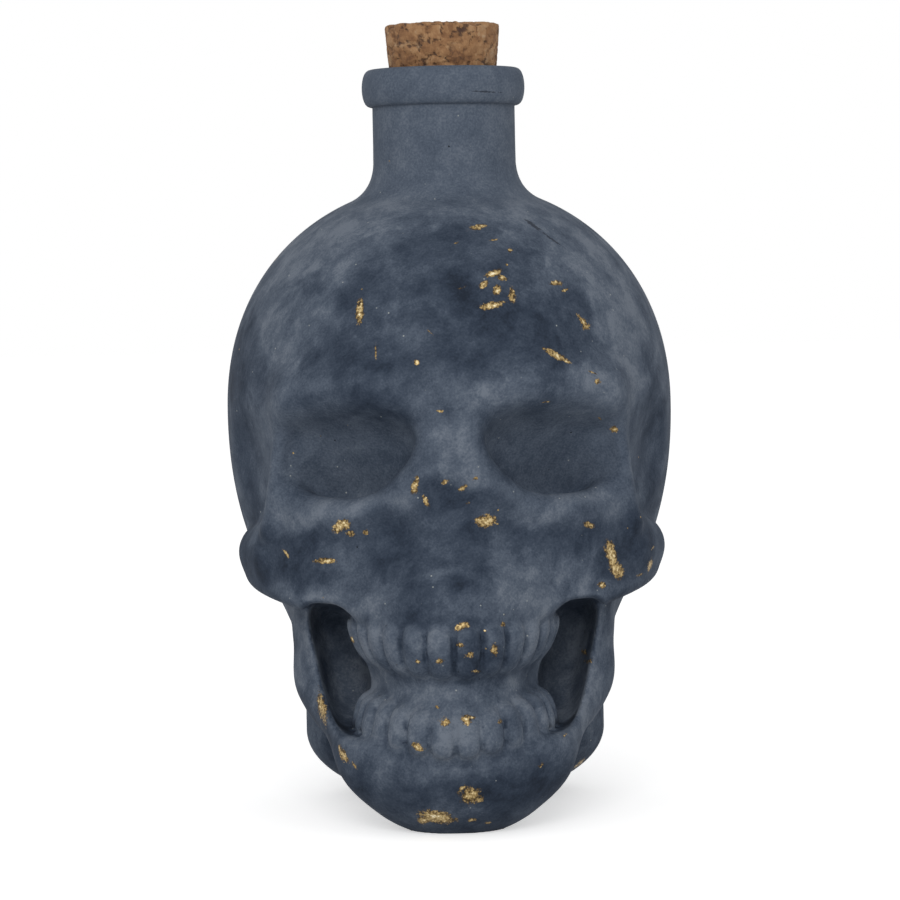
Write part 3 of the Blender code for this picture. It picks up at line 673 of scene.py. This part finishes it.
GOLD_NOTES = (
    (360, 312, 10, 3.5, 85, 1), (362, 305, 6, 2.5, 85, 0.8), (376, 352, 9, 1.5, 85, 0.6),
    (417, 362, 3.5, 2.5, 0, 0.9), (478, 227, 9, 3, 8, 0.8), (494, 240, 7, 1.5, 0, 0.5),
    (510, 250, 3, 3, 0, 0.6), (456, 243, 6, 2, 20, 0.4), (493, 273, 7, 3, 20, 1),
    (502, 277, 5, 2.5, -30, 0.9), (484, 284, 5, 2.5, 40, 1), (497, 290, 5, 4, 80, 0.8),
    (492, 305, 10, 3, 12, 1), (512, 296, 5, 10, 0, 0.6), (460, 288, 9, 1.5, 15, 0.4),
    (556, 283, 6, 3, -10, 0.8), (565, 290, 4, 2, 0, 0.6), (583, 322, 10, 2.5, -50, 0.8),
    (587, 327, 4, 3, 0, 0.8), (556, 355, 12, 2.5, -28, 1), (566, 361, 6, 2, -30, 0.7),
    (592, 372, 10, 1.5, -30, 0.4), (597, 382, 4, 4, 0, 0.7), (600, 418, 4, 2, -40, 0.5),
    (614, 430, 4, 4, 0, 0.7), (440, 411, 6, 2.5, 0, 0.5), (547, 402, 8, 2, 0, 0.4),
    (430, 332, 10, 1.5, -45, 0.3), (415, 486, 7, 3, 75, 1), (425, 500, 7, 2.5, -60, 0.8),
    (445, 482, 5, 3.5, 30, 0.7), (462, 488, 7, 3, 40, 0.6), (467, 503, 5, 2, 0, 0.4),
    (476, 478, 7, 3, 20, 0.4), (486, 521, 9, 6, 0, 0.9), (341, 526, 8, 4.5, 35, 1),
    (350, 533, 5, 3, 0, 0.8), (366, 532, 4, 3, 0, 0.7), (286, 553, 6, 2, -50, 0.7),
    (326, 561, 12, 3, 5, 0.8), (589, 525, 6, 3, -20, 0.8), (611, 555, 13, 4.5, -78, 1),
    (617, 570, 10, 7, -60, 0.8), (602, 585, 5, 4, 0, 0.7), (650, 565, 8, 3, 70, 0.7),
    (640, 575, 5, 3, 0, 0.5), (653, 548, 5, 2, 40, 0.4), (352, 640, 3, 4, 0, 0.7),
    (460, 627, 6, 3.5, 20, 0.9), (466, 625, 4, 3, 0, 0.8), (503, 625, 3, 3, 0, 0.7),
    (440, 662, 5, 4, 0, 0.7), (460, 645, 6, 4, 0, 0.5), (470, 655, 6, 5, 0, 0.6), (495, 650, 4, 8, 0, 0.7),
    (417, 662, 4, 3, 0, 0.6), (397, 665, 3, 2, 0, 0.3), (476, 672, 6, 3, 0, 0.5), (445, 722, 6, 5, 0, 0.7),
    (466, 720, 5, 6, 30, 0.8), (418, 747, 7, 4, -20, 0.8), (437, 707, 4, 2, -20, 0.5),
    (472, 718, 6, 2, 0, 0.5), (500, 722, 4, 5, 30, 0.4), (322, 708, 5, 18, 12, 0.7),
    (343, 755, 10, 5, -60, 0.7), (354, 765, 6, 3, -50, 0.5), (437, 817, 16, 6, -12, 1),
    (424, 820, 6, 5, 0, 0.9), (470, 795, 13, 11, 0, 0.7), (462, 788, 5, 3, 20, 0.6),
    (480, 800, 5, 4, 0, 0.6), (472, 820, 6, 2.5, 0, 0.7), (487, 823, 5, 2, 0, 0.6),
    (584, 652, 5, 5, 40, 0.4), (588, 662, 10, 4, 20, 0.3), (541, 765, 6, 4, 40, 0.4),
    (565, 735, 6, 3, 40, 0.3),
)
CALM_PATCHES = ((-21, 67.5, 11.5, 6.5, -5, 1.4), (21, 67.5, 11.5, 6.5, 5, 1.4))
DARK_SCRATCHES = (
    (7.5, 132.1, 2.2, 0.2, -2, 0.9), (10.6, 132, 1, 0.2, 0, 0.8), (15.8, 107.6, 2.2, 0.35, -38, 0.9),
    (19.2, 105, 3.6, 0.25, -36, 0.75), (1, 134.3, 1.2, 0.3, 10, 0.5),
)
MM = 0.001
LEAST_HALF_HEIGHT = 0.2

# Camera: its place, its focal length and how far it looks down, both in pixels, its roll in degrees, and half
# the photograph's width in pixels. A note's ray is followed from just before the face, in shrinking steps.
CAMERA_PLACE = (0, -0.65, 0.1035)
CAMERA_FOCUS = 3490
CAMERA_DROP = 200
CAMERA_ROLL = -1.1
FRAME_HALF = 450
RAY_START = 0.58
RAY_STEPS = 200
RAY_STEP = 0.01
RAY_PACE = 0.5

# Tones run from 0, the darkest coat, to 1, the palest.
BLOT_FADE = 0.02
BLOT_FALL = 0.8
DRIFT_WAVES = 7
DRIFT_SPREAD = (0.7, 1.6)
DRIFT_SCALE = 2.6
STRAY_SIZE = 0.012
STRAY_REACH = 0.0018
TONE_MIDDLE = 0.5
TONE_REACH = 0.4
PLAIN_TONE = 0.6
BROAD_SWELL, BROAD_SWELL_TONE = 0.035, 0.13
FINE_SWELL, FINE_SWELL_TONE = 0.016, 0.08
# Upward faces are painted paler: settled dust, and painted light from above.
UPWARD_DUST_AND_LIGHT_TONE = 0.08
PALE_TONE = 0.36
DARK_TONE = 0.48
# Crests and ridges are paler, as rubbed paint and a painted highlight; creases and hollows are darker, as
# painted shade.
CREST_RUB_AND_HIGHLIGHT_TONE = 0.6
RIDGE_RUB_AND_HIGHLIGHT_TONE = 0.45
DENT_PAINTED_SHADE_TONE = 0.9
DEEP_PAINTED_SHADE_TONE = 0.05
SOCKET_TONE = 0.66
NECK_TONE = 0.76
MOST_CALM = 0.75
DEEP_REACH = 0.0045
RIDGE_REACH = 0.003
FINE_REACH = 0.0012

COAT_STOPS = (
    (0.0, (0.013, 0.019, 0.031)),
    (0.25, (0.026, 0.037, 0.058)),
    (0.5, (0.046, 0.061, 0.088)),
    (0.75, (0.08, 0.1, 0.134)),
    (1.0, (0.14, 0.163, 0.2)),
)
# Gold leaf from dark brown through gold; the palest stops are painted glints.
LEAF_AND_GLINT_STOPS = (
    (0.25, (0.04, 0.028, 0.015)),
    (0.42, (0.19, 0.125, 0.05)),
    (0.62, (0.42, 0.3, 0.13)),
    (0.84, (0.7, 0.56, 0.31)),
    (1.0, (0.92, 0.85, 0.64)),
)
# Painted shade for deep hollows, then the coat's real scratches, pits and dust specks.
HOLLOW_PAINTED_SHADE = (0.014, 0.018, 0.026)
SCRATCH_COLOUR = (0.022, 0.026, 0.036)
PIT_COLOUR = (0.01, 0.012, 0.016)
DUST_COLOUR = (0.36, 0.38, 0.37)
COAT_SHINE = 0.12
FAINT_LOSS = 0.65

# The face's marks end between these two depths, and random flecks take over behind them.
BACK_START, BACK_END = -0.012, -0.002
STROKE_LENGTH = 3.5
BRUSH_TURN = (0.5, 0.7, 0.4)
STREAK_TURN = (0.6, 0.9, 0.3)


def camera_turn():
    """The way the camera looks: a little downwards, and tipped a little to one side."""
    tilt = Matrix.Rotation(np.radians(90) - np.arctan(CAMERA_DROP / CAMERA_FOCUS), 3, "X")
    return tilt @ Matrix.Rotation(np.radians(CAMERA_ROLL), 3, "Z")


def placed(notes):
    """The notes in millimetres on the skull, where the camera's ray through each one's pixel meets it."""
    look = camera_turn()
    ways = [look @ Vector((x - FRAME_HALF, FRAME_HALF - y, -CAMERA_FOCUS)).normalized() for x, y, *_ in notes]
    ways, reach = np.array(ways), np.full((len(notes), 1), RAY_START)
    for _ in range(RAY_STEPS):
        reach[:, 0] += np.minimum(skull_form(CAMERA_PLACE + ways * reach), RAY_STEP) * RAY_PACE
    rows = []
    for note, point in zip(notes, CAMERA_PLACE + ways * reach):
        pixel = (point[1] - CAMERA_PLACE[1]) / CAMERA_FOCUS / MM
        half_height = max(note[3] * pixel, LEAST_HALF_HEIGHT)
        rows.append((point[0] / MM, point[2] / MM, note[2] * pixel, half_height, *note[4:]))
    return rows


def blots(points, table):
    """The sum of soft oval blots that lie on the face, fading out behind the temples."""
    front = ease(1 - points[:, 1] / BLOT_FADE)
    total = np.zeros(len(points))
    for across, up, half_width, half_height, turn, strength in table:
        away_x, away_z = points[:, 0] - across * MM, points[:, 2] - up * MM
        cos, sin = np.cos(np.radians(turn)), np.sin(np.radians(turn))
        along = (away_x * cos + away_z * sin) / (half_width * MM)
        aside = (away_z * cos - away_x * sin) / (half_height * MM)
        total += strength * front * np.exp(-BLOT_FALL * (along**2 + aside**2))
    return total


def drift(points, size, seed):
    """A smooth random swell from about -1 to 1 whose waves are about one size long."""
    draw = np.random.default_rng(seed)
    total = np.zeros(len(points))
    for _ in range(DRIFT_WAVES):
        way = draw.normal(size=3)
        way *= draw.uniform(*DRIFT_SPREAD) / np.linalg.norm(way) / size
        total += np.sin(2 * np.pi * (points @ way + draw.uniform())) / DRIFT_SCALE
    return total


def store(piece, **numbers):
    """Stores numbers on a piece's points for its finish."""
    for name, values in numbers.items():
        piece.data.attributes.new(name, "FLOAT", "POINT").data.foreach_set("value", values)


def paint_coat(piece):
    """Stores on every point how pale the coat is, painted light and shade included, how deep the point lies,
    and how calm the clouds are.
    """
    data = piece.data
    points, outward = np.zeros(len(data.vertices) * 3), np.zeros(len(data.vertices) * 3)
    data.vertices.foreach_get("co", points)
    data.vertices.foreach_get("normal", outward)
    points, outward = points.reshape(-1, 3), outward.reshape(-1, 3)
    stray = np.stack([drift(points, STRAY_SIZE, seed) for seed in (1, 2, 3)], axis=1) * STRAY_REACH
    below_neck = ease((SKULL_HEIGHT - points[:, 2]) / BROAD_BLEND)
    deep, dent, ridge_top, crest = (
        np.clip(1 + sign * skull_form(points - sign * outward * reach) / reach, 0, 1) * below_neck
        for sign, reach in ((-1, DEEP_REACH), (-1, FINE_REACH), (1, RIDGE_REACH), (1, FINE_REACH))
    )
    tone = PLAIN_TONE + drift(points, BROAD_SWELL, 4) * BROAD_SWELL_TONE
    tone += drift(points, FINE_SWELL, 5) * FINE_SWELL_TONE
    # Upward faces are paler: settled dust, and painted light from above.
    tone += outward[:, 2] * UPWARD_DUST_AND_LIGHT_TONE
    # Pale ovals are partly pale dust and partly painted highlights; dark ovals are partly dark paint and
    # partly painted shade.
    tone += blots(points + stray, [*placed(PALE_NOTES), *PALE_PATCHES]) * PALE_TONE
    tone -= blots(points + stray, [*placed(DARK_NOTES), *DARK_PATCHES]) * DARK_TONE
    # Painted light: crests and ridges paler, as rubbed paint and a painted highlight; creases and deep
    # hollows darker, as painted shade.
    tone += crest * CREST_RUB_AND_HIGHLIGHT_TONE + ridge_top * RIDGE_RUB_AND_HIGHLIGHT_TONE - dent * DENT_PAINTED_SHADE_TONE - deep * DEEP_PAINTED_SHADE_TONE
    tone = TONE_MIDDLE + TONE_REACH * np.tanh((tone - TONE_MIDDLE) / TONE_REACH)
    calm = np.clip(blots(points, CALM_PATCHES), 0, MOST_CALM)
    tone += (SOCKET_TONE - tone) * calm
    calm = np.maximum(calm, 1 - below_neck)
    tone += (NECK_TONE - tone) * (1 - below_neck)
    store(piece, coat_tone=tone, coat_depth=deep, coat_calm=calm)


class Shade:
    """A socket in a finish's nodes. Arithmetic on it adds Math nodes, and add() adds any other node."""

    def __init__(self, tree, socket=None):
        self.tree = tree
        self.socket = socket

    def add(self, kind, settings, inputs, output=0):
        node = self.tree.nodes.new(kind)
        for name, value in settings.items():
            setattr(node, name, value)
        for name, value in inputs.items():
            if isinstance(value, Shade):
                self.tree.links.new(value.socket, node.inputs[name])
            else:
                node.inputs[name].default_value = value
        return Shade(self.tree, node.outputs[output])

    def feed(self, node, name):
        self.tree.links.new(self.socket, node.inputs[name])

    def maths(self, operation, *values):
        return self.add("ShaderNodeMath", {"operation": operation}, dict(enumerate(values)))

    def vectors(self, operation, *values, output=0):
        return self.add("ShaderNodeVectorMath", {"operation": operation}, dict(enumerate(values)), output)

    def stored(self, name):
        return self.add("ShaderNodeAttribute", {"attribute_name": name}, {}, 2)

    def __add__(self, other):
        return self.maths("ADD", self, other)

    def __sub__(self, other):
        return self.maths("SUBTRACT", self, other)

    def __rsub__(self, other):
        return self.maths("SUBTRACT", other, self)

    def __mul__(self, other):
        return self.maths("MULTIPLY", self, other)


def new_finish(name):
    """A new material, its shader, and the place on the object as its first socket."""
    finish = bpy.data.materials.new(name)
    finish.use_nodes = True
    place = Shade(finish.node_tree).add("ShaderNodeTexCoord", {}, {}, 3)
    return finish, finish.node_tree.nodes["Principled BSDF"], place


def between(value, low, high, start=0.0, end=1.0):
    """A soft step from start, where the value is low, to end, where it is high."""
    ends = {"From Min": low, "From Max": high, "To Min": start, "To Max": end}
    return value.add("ShaderNodeMapRange", {"interpolation_type": "SMOOTHSTEP"}, {"Value": value, **ends})


def tint(mask, first, second):
    """The first colour where the mask is 0, the second where it is 1."""
    first, second = (colour if isinstance(colour, Shade) else (*colour, 1) for colour in (first, second))
    return mask.add("ShaderNodeMix", {"data_type": "RGBA"}, {0: mask, 6: first, 7: second}, 2)


def ramp(value, stops):
    """A colour that changes with the value, from (place, colour) pairs."""
    made = value.add("ShaderNodeValToRGB", {}, {0: value})
    elements = made.socket.node.color_ramp.elements
    while len(elements) < len(stops):
        elements.new(1)
    for element, (place, colour) in zip(elements, stops):
        element.position = place
        element.color = (*colour, 1)
    return made


def grain(place, size, detail=4.0, roughness=0.5):
    """Soft noise from 0 to 1 whose lumps are about one size across."""
    inputs = {"Vector": place, "Scale": 1 / size, "Detail": detail, "Roughness": roughness}
    return place.add("ShaderNodeTexNoise", {}, inputs)


def sway(value, strength):
    """A grain as a push down or up, by half the strength at most."""
    return (value - 0.5) * strength


def swirl(place, size, reach):
    """The place, strayed by up to a reach with a noise of one size, which makes what lies on it smoky."""
    colour = place.add("ShaderNodeTexNoise", {}, {"Vector": place, "Scale": 1 / size, "Detail": 3.0}, 1)
    away = place.vectors("SUBTRACT", colour, (0.5, 0.5, 0.5))
    return place.vectors("MULTIPLY_ADD", away, (reach * 2,) * 3, place)


def emboss(height, distance, strength):
    """The bent surface that a finish's height, times a distance, gives."""
    return height.add("ShaderNodeBump", {}, {"Height": height, "Distance": distance, "Strength": strength})


def turned(place, turn):
    """The place turned and drawn out, so that a grain on it becomes brush strokes."""
    inputs = {"Vector": place, "Rotation": turn, "Scale": (1, 1, STROKE_LENGTH)}
    return place.add("ShaderNodeMapping", {"vector_type": "TEXTURE"}, inputs)


def specks(place, spacing, size, share):
    """Round specks in a share of a loose net's cells: 1 at their middle, 0.5 at their rim, falling on."""
    inputs = {"Vector": place, "Scale": 1 / spacing}
    reach = place.add("ShaderNodeTexVoronoi", {}, inputs)
    lot = place.add("ShaderNodeTexVoronoi", {}, inputs, 1)
    lot = lot.add("ShaderNodeSeparateColor", {}, {0: lot})
    return (1 - reach * (spacing / size / 2)) * lot.maths("LESS_THAN", lot, share)


def marks(place, table):
    """How strongly a table's ovals cover a point: their strength at the middle, a half less at the rim."""
    cover = None
    for turn in sorted({row[4] for row in table}):
        cos, sin = np.cos(np.radians(turn)), np.sin(np.radians(turn))
        along = place.vectors("DOT_PRODUCT", place, (cos, 0, sin), output=1)
        aside = place.vectors("DOT_PRODUCT", place, (-sin, 0, cos), output=1)
        seen = along.add("ShaderNodeCombineXYZ", {}, {0: along, 2: aside})
        for across, up, half_width, half_height, _, strength in (row for row in table if row[4] == turn):
            size = (1 / half_width / MM, 0, 1 / half_height / MM)
            shift = ((-across * cos - up * sin) / half_width, 0, (across * sin - up * cos) / half_height)
            reach = seen.vectors("LENGTH", seen.vectors("MULTIPLY_ADD", seen, size, shift), output=1)
            mark = reach.maths("MULTIPLY_ADD", reach, -0.5, strength)
            cover = mark if cover is None else cover.maths("MAXIMUM", cover, mark)
    return cover


def coat_finish(piece):
    finish, shader, place = new_finish("slate_coat")
    shader.inputs["Specular IOR Level"].default_value = COAT_SHINE
    tone, depth, calm = (place.stored(name) for name in ("coat_tone", "coat_depth", "coat_calm"))
    back = between(place.add("ShaderNodeSeparateXYZ", {}, {0: place}, 1), BACK_START, BACK_END)
    not_behind = back * 2
    not_in_front = (1 - back) * 2

    smoke = grain(swirl(place, 0.012, reach=0.005), 0.006, detail=7.0, roughness=0.6)
    brush = grain(turned(swirl(place, 0.02, reach=0.004), BRUSH_TURN), 0.0013, detail=4.0, roughness=0.6)
    powder = grain(place, 0.0004, detail=2.0, roughness=0.6)
    clouds = sway(smoke, 1.35) + sway(brush, 0.4)
    coat = ramp(tone + clouds * (1 - calm * 0.6) + sway(powder, 0.55), COAT_STOPS)
    # Painted shade: the deepest hollows darken towards near black.
    coat = tint(between(depth, 0.6, 1.0) * 0.8, coat, HOLLOW_PAINTED_SHADE)
    scratched = marks(place, DARK_SCRATCHES) + sway(grain(place, 0.0006), 0.9) - not_behind
    scratched = between(scratched, 0.4, 0.6)
    clustered = between(grain(place, 0.012, detail=2.0), 0.46, 0.58)
    pitted = between(specks(place, spacing=0.0042, size=0.00018, share=0.25), 0.4, 0.7)
    dusty = between(specks(place, spacing=0.0021, size=0.00019, share=0.4), 0.45, 0.75) * clustered
    coat = tint(scratched * 0.8, coat, SCRATCH_COLOUR)
    coat = tint(pitted * 0.9, coat, PIT_COLOUR)
    coat = tint(dusty * 0.8, coat, DUST_COLOUR)

    flecks = [(*fleck[:5], 1 - (1 - fleck[5]) * FAINT_LOSS) for fleck in placed(GOLD_NOTES)]
    gold = marks(swirl(place, 0.003, reach=0.0004), flecks) - not_behind
    behind = specks(swirl(place, 0.004, reach=0.0012), spacing=0.011, size=0.0013, share=0.4) - not_in_front
    streaks = turned(swirl(place, 0.006, reach=0.001), STREAK_TURN)
    streaks = specks(streaks, spacing=0.009, size=0.0005, share=0.3) - not_in_front
    bare = between(grain(place, 0.009, detail=2.0), 0.6, 0.5)
    crumbs = specks(place, spacing=0.0026, size=0.0002, share=0.22) - bare
    for more in (behind, streaks, crumbs):
        gold = gold.maths("MAXIMUM", gold, more)
    broken = gold + sway(grain(place, 0.0009, detail=3.0, roughness=0.7), 0.8)
    broken = broken + sway(grain(place, 0.0003, detail=2.0), 0.5)
    worn = between(broken, 0.33, 0.5)
    # The leaf's colour follows noise, and where it runs highest it reaches the painted glints.
    leaf = broken * 0.8 + sway(grain(place, 0.0005, detail=3.0, roughness=0.6), 1.6)
    tint(worn, coat, ramp(leaf, LEAF_AND_GLINT_STOPS)).feed(shader, "Base Color")
    (worn * 0.35).feed(shader, "Metallic")
    (0.8 - worn * 0.35 + sway(powder, 0.15)).feed(shader, "Roughness")
    pebbles = grain(place, 0.0008, detail=2.0) * between(depth, 0.05, 0.25, start=0.25, end=1.0)
    height = pebbles * 0.8 + grain(place, 0.003) * 0.7 - pitted * 0.8 + dusty * 0.4
    emboss(height, distance=0.00014, strength=0.7).feed(shader, "Normal")
    piece.data.materials.append(finish)


bottle = make_bottle()
paint_coat(bottle)
coat_finish(bottle)
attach(bottle, "bottle")


# Cork stopper
# A tapered plug pressed from ground cork: tan and brown granules with dark gaps between them, cut square at
# both ends and a little chipped along the edges. It is pushed into the mouth and holds by its own spring.

CORK_LEVELS = 56
CORK_AROUND = 220
CORK_END_SHARES = np.linspace(0.02, 0.94, 36)
GRANULE_SIZE = 0.0031
GRANULE_FLATNESS = 1.4
GAP_DEPTH, GAP_REACH, GAP_WAVE = 0.0004, 0.16, 0.005
DENT_DEPTH, DENT_WAVE = 0.0003, 0.0019
CHIP_DEPTH, CHIP_REACH, CHIP_WAVE = 0.0016, 0.0009, 0.0024
NOISE_SEED = 1
CORK_STOPS = (
    (0.0, (0.085, 0.038, 0.018)),
    (0.25, (0.175, 0.08, 0.032)),
    (0.5, (0.255, 0.128, 0.054)),
    (0.75, (0.335, 0.185, 0.085)),
    (1.0, (0.39, 0.255, 0.15)),
)
GAP_COLOUR = (0.035, 0.016, 0.013)
PORE_COLOUR = (0.05, 0.022, 0.016)


def granules(point):
    """How far a point lies from the nearest gap between two cork granules, and a number for its granule."""
    stretched = Vector((point[0], point[1], point[2] * GRANULE_FLATNESS)) / GRANULE_SIZE
    bent = stretched + noise.noise_vector(stretched * 1.1) * 0.45 + noise.noise_vector(stretched * 3.3) * 0.2
    reach, places = noise.voronoi(bent)
    return reach[1] - reach[0], noise.cell(places[0] * 40)


def make_cork():
    mesh = bmesh.new()
    top = BOTTLE_HEIGHT + CORK_SHOWING
    rings = []
    depths = np.linspace(CORK_EDGE, CORK_LENGTH - CORK_EDGE, CORK_LEVELS)
    profile = [(cork_radius(0) * share, 0) for share in CORK_END_SHARES]
    profile += [(cork_radius(0) - CORK_EDGE * 0.3, CORK_EDGE * 0.3)]
    profile += [(cork_radius(depth), depth) for depth in depths]
    profile += [(cork_radius(CORK_LENGTH) - CORK_EDGE, CORK_LENGTH)]
    profile += [(cork_radius(CORK_LENGTH) * share, CORK_LENGTH) for share in CORK_END_SHARES[::-1]]
    for radius, depth in profile:
        ring = []
        for across, along in round_ways(CORK_AROUND):
            point = Vector((radius * across, radius * along, top - depth))
            gap, _ = granules(point)
            sunk = GAP_DEPTH * (1 - min(gap / GAP_REACH, 1)) ** 2 * (noise.noise(point / GAP_WAVE) + 0.7)
            sunk += DENT_DEPTH * max(noise.noise(point / DENT_WAVE), 0)
            edge = max(0, 1 - min(depth, CORK_LENGTH - depth) / CHIP_REACH) * (radius > cork_radius(0) * 0.8)
            chip = CHIP_DEPTH * max(noise.noise(point / CHIP_WAVE + Vector((5, 5, 5))) - 0.1, 0) * edge
            way = Vector((point.x, point.y, 0)).normalized() if 0 < depth < CORK_LENGTH else Vector((0, 0, 0))
            cap = Vector((0, 0, 1 if depth < CORK_LENGTH / 2 else -1))
            ring.append(point - way * (sunk + chip) - cap * ((sunk if way.length == 0 else 0) + chip))
        rings.append(ring)
    for end in add_rings(mesh, rings):
        bmesh.ops.contextual_create(mesh, geom=end)
    return show("pressed_cork", mesh, "cork_stopper", soft_angle=70)


def paint_cork(piece):
    """Stores on every point how close it lies to a gap, and its granule's shade."""
    gaps, shades = zip(*(granules(point.co) for point in piece.data.vertices))
    store(piece, gap=gaps, granule=shades)


def cork_finish(piece):
    finish, shader, place = new_finish("cork")
    gap, granule = place.stored("gap"), place.stored("granule")
    streak = grain(swirl(place, 0.003, reach=0.0006), 0.0012, detail=6.0, roughness=0.7)
    speck = grain(place, 0.00045, detail=3.0, roughness=0.65)
    inputs = {"Vector": swirl(place, 0.001, reach=0.0004), "Scale": 1 / 0.0013}
    crumb = place.add("ShaderNodeTexVoronoi", {}, inputs, 1)
    crumb = crumb.add("ShaderNodeSeparateColor", {}, {0: crumb})
    shade = granule * 0.28 + 0.52 + sway(streak, 1.1) + sway(crumb, 0.3) + sway(speck, 0.35)
    body = ramp(shade, CORK_STOPS)
    open_gaps = between(grain(place, 0.004, detail=2.0), 0.4, 0.55, start=0.25, end=1.0)
    gaps = between(gap + sway(streak, 0.35), 0.11, 0.0) * open_gaps
    pores = between(streak + sway(speck, 0.4), 0.3, 0.22)
    body = tint(gaps * 0.85, body, GAP_COLOUR)
    tint(pores * 0.8, body, PORE_COLOUR).feed(shader, "Base Color")
    (sway(streak, 0.2) + 0.85).feed(shader, "Roughness")
    height = speck * 0.4 + streak * 0.8 - gaps * 0.8 - pores * 0.6
    emboss(height, distance=0.0003, strength=0.8).feed(shader, "Normal")
    piece.data.materials.append(finish)


# With no seed, the granules would follow the clock.
noise.seed_set(NOISE_SEED)
cork = make_cork()
paint_cork(cork)
cork_finish(cork)
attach(cork, "cork")


# Studio
# A plain white floor under a white surround, one broad soft lamp in front and above, and the camera.

FLOOR_REACH = 3.0
FLOOR_WHITE = (0.85, 0.85, 0.85, 1)
FLOOR_GLOW = (0.5, 0.5, 0.5)
SURROUND_LIGHT = 0.65
LAMP_POWER = 2.6
LAMP_SIZE = 0.4
LAMP_PLACE = (-0.05, -0.75, 0.42)
LAMP_AIM = (0, 0, 0.07)
SENSOR_WIDTH = 36


def looked_at(tree):
    """1 where the camera looks at a thing, also by way of a mirror or glass, and 0 where it only lights."""
    first = Shade(tree)
    straight, mirrored, through = (
        first.add("ShaderNodeLightPath", {}, {}, name)
        for name in ("Is Camera Ray", "Is Glossy Ray", "Is Transmission Ray")
    )
    return first.maths("MAXIMUM", first.maths("MAXIMUM", straight, mirrored), through)


def make_floor():
    corners = ((-1, -1, 0), (1, -1, 0), (1, 1, 0), (-1, 1, 0))
    data = bpy.data.meshes.new("floor")
    data.from_pydata([Vector(corner) * FLOOR_REACH for corner in corners], [], [(0, 1, 2, 3)])
    floor = add_object("floor", data)
    white, shader, _ = new_finish("studio_white")
    shader.inputs["Base Color"].default_value = FLOOR_WHITE
    shader.inputs["Roughness"].default_value = 1
    shader.inputs["Specular IOR Level"].default_value = 0
    shader.inputs["Emission Strength"].default_value = 1
    tint(looked_at(white.node_tree), (0, 0, 0), FLOOR_GLOW).feed(shader, "Emission Color")
    data.materials.append(white)


def light_studio():
    world = bpy.data.worlds.new("surround")
    bpy.context.scene.world = world
    world.use_nodes = True
    background = world.node_tree.nodes["Background"]
    background.inputs["Color"].default_value = (1, 1, 1, 1)
    (looked_at(world.node_tree) * (1 - SURROUND_LIGHT) + SURROUND_LIGHT).feed(background, "Strength")
    lamp_data = bpy.data.lights.new("soft_lamp", "AREA")
    lamp_data.energy = LAMP_POWER
    lamp_data.size = LAMP_SIZE
    lamp = add_object("soft_lamp", lamp_data)
    lamp.location = LAMP_PLACE
    aim = Vector(LAMP_AIM) - lamp.location
    lamp.rotation_euler = aim.to_track_quat("-Z", "Y").to_euler()


def set_camera():
    data = bpy.data.cameras.new("camera")
    data.sensor_width = SENSOR_WIDTH
    data.lens = SENSOR_WIDTH * CAMERA_FOCUS / FRAME_HALF / 2
    camera = add_object("camera", data)
    bpy.context.scene.camera = camera
    camera.location = CAMERA_PLACE
    camera.rotation_euler = camera_turn().to_euler()


bpy.context.scene.view_settings.view_transform = "Standard"
make_floor()
light_studio()
set_camera()
